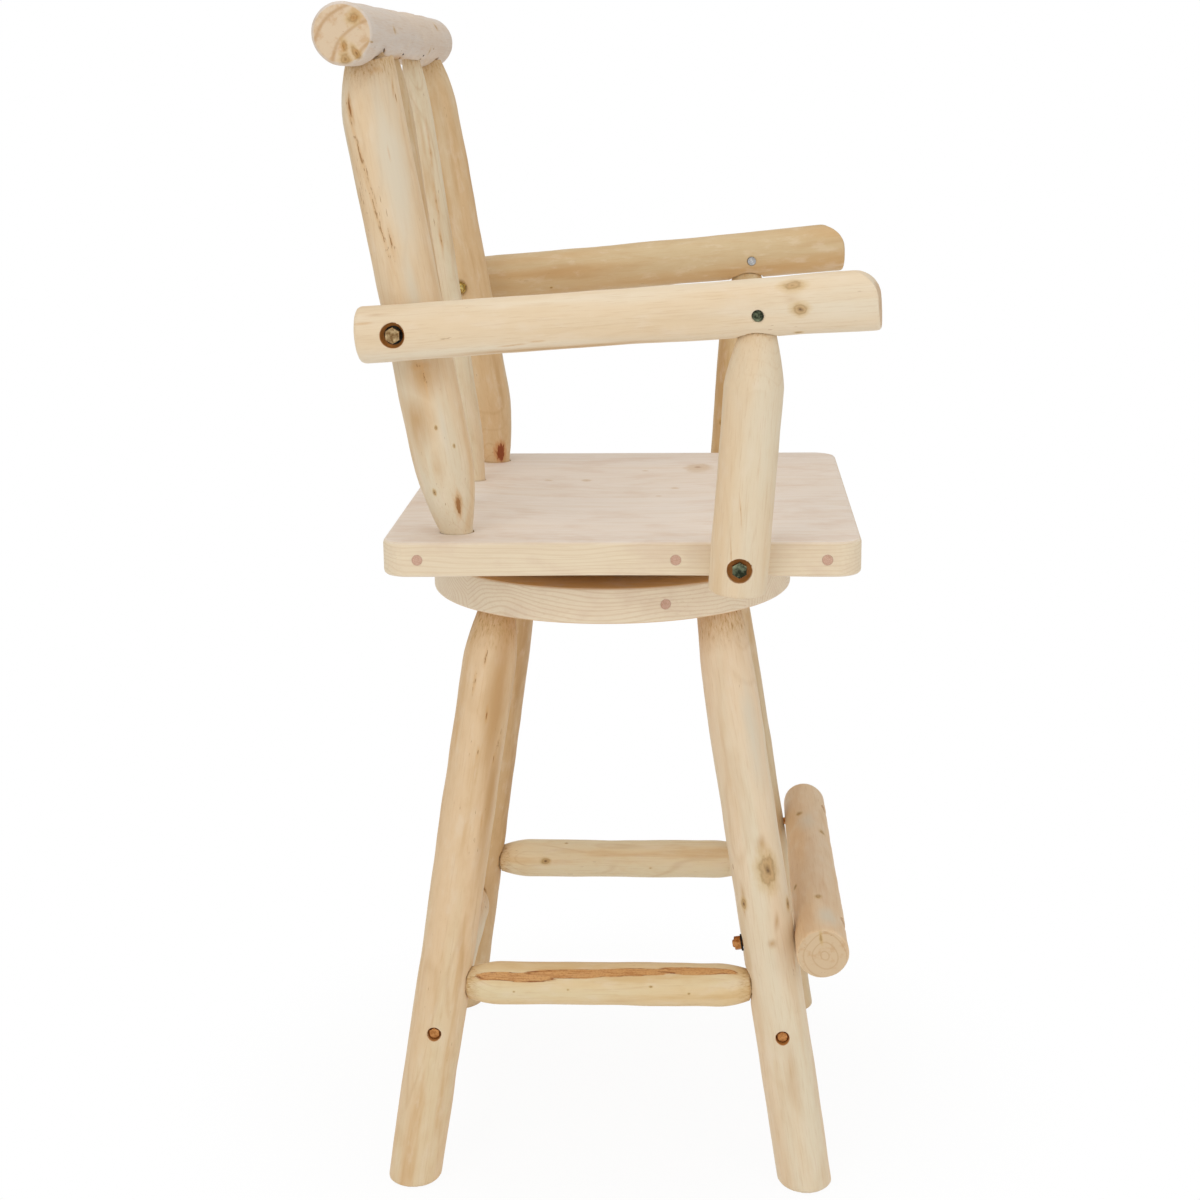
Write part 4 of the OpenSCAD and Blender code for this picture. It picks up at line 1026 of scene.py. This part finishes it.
@dataclass(frozen=True)
class ShavedLog:
    """Makes the shown log from a CAD log: same form, soft edges, gently uneven.

    Attributes:
        voxel: Size of the new skin's faces, in metres.
        weld: Vertices closer than this are joined first.
        soften: How far each round of smoothing goes, from 0 to 1.
        soften_rounds: Number of those rounds.
        wander: How deep the blade cut into the true form at most.
        wander_size: Size of the uneven places.
        inward: Share of the unevenness that lies inside the CAD form.
        flat_depth: How deep the draw-knife's flats are at most.
        flat_width: How wide they are, about.
        flat_length: How long they are, about.
        end_facing: Where the skin's direction is closer than this to the log's, it is a sawn end.
        crease: Edges sharper than this stay sharp, in degrees.
    """

    voxel: float = 1.7 * MM
    weld: float = 0.01 * MM
    soften: float = 0.5
    soften_rounds: int = 2
    wander: float = 1.6 * MM
    wander_size: float = 0.055
    inward: float = 0.9
    flat_depth: float = 1.8 * MM
    flat_width: float = 0.026
    flat_length: float = 0.2
    end_facing: float = 0.6
    crease: float = 50.0

    def make(self, finish: PeeledFir, body: str, planed: Piece | None = None) -> None:
        """Makes one log.

        Args:
            finish: Its finish, which names the CAD node that it stands for.
            body: The CAD body that it rides on.
            planed: A block that fills what is planed off the log, used up here.
        """
        node_name = finish.log
        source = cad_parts[node_name]
        piece = bpy.data.objects.new(node_name + "_shaved", source.data.copy())
        bpy.context.scene.collection.objects.link(piece)
        deselect()
        piece.select_set(True)
        bpy.context.view_layer.objects.active = piece
        edit_all(bpy.ops.mesh.remove_doubles, threshold=self.weld)
        if planed:
            apply_modifier(piece, "BOOLEAN", operation="DIFFERENCE", solver="EXACT", object=planed)
            bpy.data.objects.remove(planed)
        apply_modifier(piece, "REMESH", mode="VOXEL", voxel_size=self.voxel)
        apply_modifier(piece, "SMOOTH", factor=self.soften, iterations=self.soften_rounds)
        self._cut_flats(piece, LogAxis.of(source))
        clouds = texture("uneven_shaving", "CLOUDS", noise_scale=self.wander_size, noise_depth=1)
        apply_modifier(
            piece, "DISPLACE", texture=clouds, texture_coords="LOCAL", strength=self.wander,
            mid_level=self.inward)
        edit_all(bpy.ops.mesh.normals_make_consistent, inside=False)
        bpy.ops.object.shade_smooth_by_angle(angle=math.radians(self.crease))
        piece.data.materials.clear()
        piece.data.materials.append(FirCanvas(finish, piece, body).paint())
        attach(piece, body)
        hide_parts(node_name)
        LOG.info("shaved %s: %d faces", node_name, len(piece.data.polygons))

    def _cut_flats(self, piece: Piece, axis: LogAxis) -> None:
        """Cuts the draw-knife's long flats into a log's side, with low ridges left between them.

        Args:
            piece: The log.
            axis: Its middle line.
        """
        side = piece.vertex_groups.new(name="side")
        way = axis.way()
        dots = piece.data.vertices
        around = [dot.index for dot in dots if abs(dot.normal.dot(way)) < self.end_facing]
        side.add(around, 1.0, "REPLACE")
        grid = bpy.data.objects.new("flats_grid", None)
        grid.location = axis.start
        grid.rotation_mode = "QUATERNION"
        grid.rotation_quaternion = axis.turn()
        grid.scale = (self.flat_width, self.flat_width, self.flat_length)
        bpy.context.scene.collection.objects.link(grid)
        bpy.context.view_layer.update()
        cells = texture("flats", "VORONOI", noise_scale=1.0, weight_1=-1.0, weight_2=1.0)
        apply_modifier(
            piece, "DISPLACE", texture=cells, texture_coords="OBJECT", texture_coords_object=grid,
            vertex_group=side.name, strength=-self.flat_depth, mid_level=0.0)
        bpy.data.objects.remove(grid)
        piece.vertex_groups.clear()


SHAVE = ShavedLog()


@dataclass
class LegBase:
    """The four legs, their stretchers and the footrest.

    Attributes:
        torn_leg_mm: How far from a leg's top its fibres are torn.
        torn_stretcher_mm: The same for the stretchers' ends.
        head_hole_mm: Radius of the holes for the stretchers' bolts.
    """

    torn_leg_mm: float = 76.0
    torn_stretcher_mm: float = 34.0
    head_hole_mm: float = 6.6

    def build(self) -> None:
        """Builds the legs, the stretchers and the footrest."""
        for finish in self._finishes():
            SHAVE.make(finish, "base")

    def _finishes(self) -> tuple[PeeledFir, ...]:
        """Gives the finish of each leg and stretcher and of the footrest, which is pinker and rubbed.

        Returns:
            The finishes.
        """
        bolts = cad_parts["stretcher_bolts"]
        head = {(side, end): (LogAxis.of(bolts, side, end),) for side in (-1, 1) for end in (-1, 1)}
        leg = {"necks": Necks.TOP, "torn_mm": self.torn_leg_mm, "sink_mm": self.head_hole_mm}
        stretcher = {"necks": Necks.BOTH, "torn_mm": self.torn_stretcher_mm}
        return (
            PeeledFir(
                "front_right_leg", 1.3, "EED7B8", "EADDC3", "DFC198", mottle=0.6, dashes=0.2,
                sinks=head[-1, -1], **leg,
                knots=(Mark(767, 870, 25, 44, 0.12), Mark(743, 903, 8, 13), Mark(787, 903, 7, 14)),
                # The second streak is partly painted shade under the footrest
                streaks=(Mark(744, 912, 9, 26, 0.6), Mark(793, 958, 9, 60, 0.6)),
                pale=(Mark(752, 735, 24, 160, 0.2),),
                # The first tan place darkens the lower part of the leg
                tan=(
                    Mark(790, 1070, 60, 260, 0.75), Mark(761, 843, 16, 30, 0.25), Mark(742, 892, 15, 50, 0.6),
                    Mark(776, 921, 10, 34, 0.4, -12), Mark(771, 943, 14, 15, 0.3))),
            PeeledFir("front_left_leg", 2.7, "DDBF95", "DCCAA8", "C9A473", sinks=head[1, -1], **leg),
            PeeledFir(
                "rear_right_leg", 4.1, "E8CBA5", "E4D0AC", "D7B17F", sinks=head[-1, 1], **leg,
                knots=(Mark(501, 797, 6, 15, 0.2),),
                streaks=(
                    Mark(486, 714, 4, 24, 0.1), Mark(493, 757, 3, 24, 0.2), Mark(481, 820, 5, 40, 0.4)),
                cracks=(
                    Mark(485, 657, 3, 16, 0.2), Mark(474, 681, 3, 20, 0.2), Mark(477, 752, 3, 14, 0.3),
                    Mark(497, 742, 8, 60, 0.9)),
                tan=(Mark(496, 700, 26, 240), Mark(489, 800, 22, 200, 0.1))),
            PeeledFir("rear_left_leg", 5.9, "DAB98B", "D8C29C", "C69F6C", sinks=head[1, 1], **leg),
            PeeledFir(
                "right_stretcher", 7.7, "E9CFA2", "E8DAB6", "DCBA84", dashes=0.1, **stretcher,
                stripes=(
                    Mark(512, 976, 10.5, 95, 0, -2), Mark(570, 973, 11, 110, 0, 1),
                    Mark(625, 971.5, 10.5, 100, 0, 2), Mark(695, 970, 10, 95)),
                knots=(
                    Mark(513, 991, 3, 4, 0.4), Mark(567, 989, 3, 4, 0.4), Mark(650, 986, 3, 5, 0.2),
                    Mark(688, 993, 3, 4, 0.3))),
            PeeledFir(
                "left_stretcher", 8.4, "F0D8B0", "EDDFBF", "E0BF8D", **stretcher,
                knots=(Mark(545, 861, 8, 11), Mark(566, 843, 3, 6, 0.3), Mark(650, 868, 4, 6, 0.5))),
            PeeledFir("front_stretcher", 9.2, **stretcher),
            PeeledFir("rear_stretcher", 10.6, **stretcher),
            PeeledFir(
                "footrest_log", 12.1, "E8C8A0", "EAD2B2", "DAB388", mottle=0.7, dashes=0.1,
                ring_mm=9.0, end_rings=0.35, end_colour="DBC19E",
                knots=(Mark(820, 937, 5, 7, 0.4), Mark(849, 925, 4, 9)),
                streaks=(
                    Mark(810, 875, 30, 50, 1.0), Mark(800, 920, 8, 40, 0.7), Mark(818, 800, 6, 30, 0.6)),
                pale=(Mark(826, 915, 34, 60, 0.2), Mark(806, 820, 30, 90, 0.3))),
        )


@dataclass
class Boards:
    """The seat board, the round board and their dowels.

    Attributes:
        seat_strip_mm: Width of the boards that the seat is glued from.
        disc_strip_mm: Width of those of the round board.
    """

    seat_strip_mm: float = 162.0
    disc_strip_mm: float = 125.0

    def build(self) -> None:
        """Dresses the boards and dowels."""
        seat = PlanedPine(
            "planed_pine_seat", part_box("seat_board")[1].z, self.seat_strip_mm,
            knots=(
                Mark(693, 466, 54, 36, 0.25), Mark(583, 480, 14, 15, 0.35), Mark(673, 487, 11, 12, 0.35),
                Mark(658, 495, 9, 11, 0.45), Mark(545, 480, 9, 12, 0.4), Mark(640, 470, 9, 12, 0.5)))
        # The round board's warm brown face colour is painted shade of the dark gap under the seat board
        disc = PlanedPine(
            "planed_pine_round_board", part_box("base_disc")[1].z, self.disc_strip_mm,
            body="F2E3CA", late="CDA97C", top_colour_and_shade="D9A563")
        for name, look in (("seat_board", seat), ("base_disc", disc)):
            dress(name, PineCanvas(look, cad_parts[name]).paint())
        dowel = DowelEndGrain().build()
        for name in ("seat_dowels", "disc_dowels"):
            dress(name, dowel)


@dataclass
class Back:
    """The two back posts, the two spindles and the top rail.

    Attributes:
        torn_post_mm: How far from a post's top its fibres are torn.
        torn_spindle_mm: The same for the spindles.
        planed_mm: How much of the rail's underside is planed off.
        planed_tilt: Tilt of that flat towards the front, in degrees.
        planed_slope: How long the flat is where it is deepest, next to where it starts.
    """

    torn_post_mm: float = 58.0
    torn_spindle_mm: float = 46.0
    planed_mm: float = 8.5
    planed_tilt: float = 6.0
    planed_slope: float = 0.86

    def build(self) -> None:
        """Builds the posts, the spindles and the rail."""
        for finish in self._finishes():
            SHAVE.make(finish, "seat")
        SHAVE.make(self._rail(), "seat", self._planed_block())

    def _planed_block(self) -> Piece:
        """Makes the block, sloped at its ends, that the rail's underside lacks between the posts.

        Returns:
            The block.
        """
        low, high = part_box("top_rail")
        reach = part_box("left_back_post")[0].x
        deselect()
        bpy.ops.mesh.primitive_cone_add(
            vertices=4, radius1=1.0, radius2=self.planed_slope, depth=1.0,
            rotation=(0.0, 0.0, math.radians(45)), location=(0.0, (low.y + high.y) / 2, low.z))
        bpy.ops.object.transform_apply(location=False, rotation=True, scale=False)
        block = bpy.context.active_object
        block.dimensions = (2 * reach, 2 * (high.y - low.y), 2 * self.planed_mm * MM)
        block.rotation_euler = (math.radians(self.planed_tilt), 0.0, 0.0)
        bpy.ops.object.transform_apply(location=False, rotation=True, scale=True)
        return block

    def _finishes(self) -> tuple[PeeledFir, ...]:
        """Gives the finish of each post and spindle.

        Returns:
            The finishes.
        """
        post = {"necks": Necks.TOP, "torn_mm": self.torn_post_mm}
        spindle = {"necks": Necks.TOP, "torn_mm": self.torn_spindle_mm}
        return (
            PeeledFir(
                "right_back_post", 14.3, "E9CFAB", "E2D4BA", "DAB788", mottle=0.7, **post,
                knots=(Mark(432, 503, 4, 7), Mark(444, 428, 3, 5), Mark(462, 446, 3, 5)),
                streaks=(
                    # The wide, short streak just under the right arm is painted contact shade
                    Mark(358, 107, 8, 40), Mark(404, 97, 3, 14, 0.1), Mark(398, 155, 5, 50, 0.6),
                    Mark(466, 505, 10, 36, -0.1), Mark(428, 366, 44, 16, 0.45), Mark(384, 70, 34, 18, 0.5),
                    Mark(401, 86, 8, 30, 0.4, -12)),
                cracks=(
                    Mark(368, 152, 4, 95, 0.2, 7), Mark(385, 216, 4, 95, 0.3, 7), Mark(400, 244, 6, 30, 0.3),
                    Mark(370, 200, 26, 160, 1.05), Mark(433, 380, 3, 34, 0.4)),
                # These pale places are painted grey reflection down the post's front side
                pale=(Mark(402, 170, 34, 220), Mark(420, 290, 24, 160, 0.2), Mark(452, 430, 10, 110, 0.3)),
                # The first tan place is partly painted shade on the post just under the right arm
                tan=(
                    Mark(430, 375, 56, 60, 0.2), Mark(424, 420, 44, 80, 0.3), Mark(446, 470, 30, 90, 0.7))),
            PeeledFir(
                "left_back_post", 15.8, "DFBF93", "DCC9A8", "CBA36E",
                resin=(Mark(494, 452, 13, 24, -0.4),), **post),
            PeeledFir(
                "right_spindle", 17.4, "D6B68C", "D3BF9C", "C39862", **spindle,
                streaks=(
                    Mark(428, 150, 7, 90, 0.1), Mark(434, 200, 7, 80, 0.1), Mark(438, 240, 6, 60, 0.3))),
            PeeledFir(
                "left_spindle", 18.2, **spindle,
                streaks=(
                    Mark(427, 150, 8, 100, 0.4), Mark(433, 200, 8, 100, 0.4), Mark(438, 240, 7, 70, 0.45))),
        )

    def _rail(self) -> PeeledFir:
        """Gives the finish of the rail, which is paler and pinker than the rest.

        Returns:
            The finish.
        """
        return PeeledFir(
            "top_rail", 20.5, "DFCDBB", "DDD2C8", "D0B498", mottle=0.45, dashes=0.15,
            ring_mm=20.0, pith=(0.0, -40.0, -34.0), end_rings=0.6, end_colour="DFC8AB",
            knots=(
                Mark(365, 17, 14, 22, 0.3), Mark(356, 46, 9, 9, 0.3), Mark(368, 53, 8, 9, 0.15),
                Mark(357, 60, 13, 5, 0.2), Mark(428, 48, 2, 9, 0.1), Mark(384, 42, 2, 12, 0.3)),
            streaks=(Mark(370, 36, 5, 30, 0.8),),
            resin=(Mark(366, 17, 17, 20, 0.45), Mark(355, 47, 14, 12, 0.4), Mark(368, 53, 12, 10, 0.5)),
            tan=(Mark(400, 58, 14, 260, 0.3), Mark(345, 55, 14, 14, 0.6)))


@dataclass
class Arms:
    """The two arms and the posts that carry them.

    Attributes:
        torn_post_mm: How far from an arm post's top its fibres are torn.
        head_hole_mm: Radius of the holes for the arms' and the posts' bolts.
    """

    torn_post_mm: float = 40.0
    head_hole_mm: float = 11.2

    def build(self) -> None:
        """Builds the arms and the arm posts."""
        for finish in self._finishes():
            SHAVE.make(finish, "seat")

    def _finishes(self) -> tuple[PeeledFir, ...]:
        """Gives the finish of each arm and arm post.

        Returns:
            The finishes.
        """
        bolts = [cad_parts[name] for name in ("arm_rear_bolts", "arm_post_bolts")]
        right_arm, left_arm, right_post, left_post = [
            {"sinks": (LogAxis.of(pair, side),), "sink_mm": self.head_hole_mm}
            for pair in bolts for side in (-1, 1)]
        post = {"necks": Necks.TOP, "torn_mm": self.torn_post_mm}
        return (
            PeeledFir(
                "right_arm", 22.9, "EBD5B5", "ECDFC8", "DFC196", mottle=0.35, dashes=0.12, **right_arm,
                knots=(Mark(804, 284, 14, 26, 0.2), Mark(812, 308, 11, 16), Mark(810, 331, 6, 10, 0.2)),
                streaks=(
                    Mark(372, 324, 5, 34, 0.35), Mark(524, 345, 5, 44, 0.35, 4), Mark(548, 341, 7, 40, 0.6),
                    Mark(470, 312, 3, 130, 0.9)),
                # The long thin second tan place is painted shade along the arm's underside
                tan=(
                    Mark(803, 298, 34, 60, 0.75), Mark(560, 350, 14, 400, 0.35),
                    Mark(385, 315, 14, 60, 0.7))),
            PeeledFir(
                "right_arm_post", 26.6, "EAD2B0", "E8DBC2", "DEBF92", mottle=0.5, dashes=0.15,
                **post, **right_post,
                streaks=(
                    Mark(752, 510, 2.5, 50, 0.35, 9), Mark(742, 550, 2.5, 60, 0.4, 6),
                    Mark(770, 470, 5, 160, 0.8))),
            # Its colours are darker than the right arm's: painted shade of the side that the camera sees
            PeeledFir(
                "left_arm", 24.1, "D3AE7B", "D9C29A", "C29660", mottle=0.5, **left_arm,
                knots=(Mark(543, 287, 3, 4, 0.1),)),
            PeeledFir(
                "left_arm_post", 27.5, "D8B684", "D9C6A0", "C49B66", **post, **left_post,
                knots=(Mark(712, 421, 6, 8, 0.2),)),
        )


@dataclass
class Fittings:
    """Bolts, nuts, washers, screws and the swivel."""

    def build(self) -> None:
        """Dresses the metal pieces."""
        dressed = {
            Metal("yellow_zinc_plated_steel", "A86E3C", "DDA266", 0.42): (
                "stretcher_bolts", "footrest_bolts", "footrest_nuts", "lower_plate_screws",
                "upper_plate_screws"),
            Metal("dark_bronzed_steel", "8A6A44", "D8BE92", 0.3, 9.0): ("arm_rear_bolts",),
            Metal("black_oxide_steel", "1B1A18", "3C3A34", 0.38): (
                "arm_bolt_washers", "footrest_washers", "rail_brads"),
            Metal("greenish_black_steel", "2E3326", "8C9478", 0.3, 9.0): (
                "arm_post_bolts", "arm_connector_bolts"),
            Metal("zinc_plated_sheet_steel", "86847C", "B0AEA6", 0.4, 14.0): (
                "swivel_lower_plate", "swivel_upper_plate", "ball_cage"),
            Metal("plain_bright_steel", "B4B5B7", "E0E1E2", 0.24): (
                "sleeve_nuts", "swivel_pin", "bearing_balls"),
            Metal("polished_brass", "A88A42", "E6D088", 0.24): ("cap_nuts",),
        }
        for finish, names in dressed.items():
            material = finish.build()
            for name in names:
                dress(name, material)


@dataclass(frozen=True)
class Lamp:
    """A round soft lamp aimed at the stool.

    Attributes:
        name: Its name.
        place: Where it hangs.
        size: Its diameter, in metres.
        power: Its power, in watts.
        colour: Its colour, as hex.
    """

    name: str
    place: Triple
    size: float
    power: float
    colour: str

    def hang(self, aim: Vector) -> None:
        """Hangs the lamp.

        Args:
            aim: The point that it shines at.
        """
        light = bpy.data.lights.new(self.name, "AREA")
        light.shape, light.size, light.energy = "DISK", self.size, self.power
        light.color = linear(self.colour)[:3]
        lamp = bpy.data.objects.new(self.name, light)
        bpy.context.scene.collection.objects.link(lamp)
        lamp.location = self.place
        lamp.rotation_euler = (aim - Vector(self.place)).to_track_quat("-Z", "Y").to_euler()


@dataclass
class Studio:
    """A plain white room: its floor, its even light and its lamps.

    Attributes:
        floor_size: The floor's side, in metres.
        floor_cells: Number of faces along that side.
        floor_level: How high it lies, just under the feet.
        shadow_share: How much of the stool's shadow the camera sees on it.
        shadow_start: Radius where the shadow is strongest.
        shadow_reach: Radius where it is gone.
        room_strength: Strength of the even light.
        aim: The point that the lamps shine at.
        lamps: The lamps.
    """

    floor_size: float = 16.0
    floor_cells: int = 8
    floor_level: float = -0.6 * MM
    shadow_share: float = 0.07
    shadow_start: float = 0.2
    shadow_reach: float = 0.55
    room_strength: float = 0.6
    aim: Triple = (0.0, 0.0, 0.65)
    lamps: tuple[Lamp, ...] = (
        Lamp("key_lamp", (-2.3, 1.1, 2.1), 1.9, 15.0, "FFFAF2"),
        Lamp("front_lamp", (-2.2, -2.0, 1.5), 1.9, 10.0, "FFFBF6"),
        Lamp("top_lamp", (0.1, 0.2, 3.0), 2.2, 13.0, "FFFDFA"),
    )

    def build(self) -> None:
        """Builds the room."""
        self._floor()
        self._world()
        for lamp in self.lamps:
            lamp.hang(Vector(self.aim))
        CAMERA.build()

    def _floor(self) -> None:
        """Lays the floor: white to the eye, with a faint shadow close to the stool."""
        deselect()
        bpy.ops.mesh.primitive_grid_add(
            x_subdivisions=self.floor_cells, y_subdivisions=self.floor_cells, size=self.floor_size,
            location=(0.0, 0.0, self.floor_level))
        floor = bpy.context.active_object
        floor.name = "studio_floor"
        material = bpy.data.materials.new("white_paper_floor")
        graph = Graph(material)
        paper = graph.add("BsdfDiffuse", (linear("FFFFFF"),))
        white = graph.add("Emission", (linear("FFFFFF"), 1.0))
        path = graph.add("LightPath").node.outputs
        seen = graph.add("Math:MAXIMUM", (path["Is Camera Ray"], path["Is Glossy Ray"]))
        seen = graph.add("Math:MAXIMUM", (path["Is Transmission Ray"], seen))
        place = graph.add("TexCoord", output="Object")
        away = graph.add("VectorMath:LENGTH", (place,), "Value")
        kept_white = graph.add("MapRange", (
            away, self.shadow_start, self.shadow_reach, 1.0 - self.shadow_share, 1.0), **SMOOTH)
        amount = graph.add("Math:MULTIPLY", (seen, kept_white))
        graph.add("OutputMaterial", (graph.add("MixShader", (amount, paper, white)),))
        floor.data.materials.append(material)

    def _world(self) -> None:
        """Sets the even light of the room, white where the camera sees it."""
        world = bpy.data.worlds.new("white_room")
        bpy.context.scene.world = world
        graph = Graph(world)
        path = graph.add("LightPath").node.outputs
        seen = graph.add("Math:MAXIMUM", (path["Is Camera Ray"], path["Is Transmission Ray"]))
        room = graph.add("Background", (linear("FFFDF9"), self.room_strength))
        white = graph.add("Background", (linear("FFFFFF"), 1.0))
        graph.add("OutputWorld", (graph.add("MixShader", (seen, room, white)),))


def main() -> None:
    """Builds the whole scene."""
    logging.basicConfig(level=logging.INFO, format="%(name)s: %(message)s")
    bpy.context.scene.view_settings.view_transform = "Standard"
    for part in (LegBase(), Boards(), Back(), Arms(), Fittings(), Studio()):
        LOG.info("building %s", type(part).__name__)
        part.build()


if __name__ == "__main__":
    main()
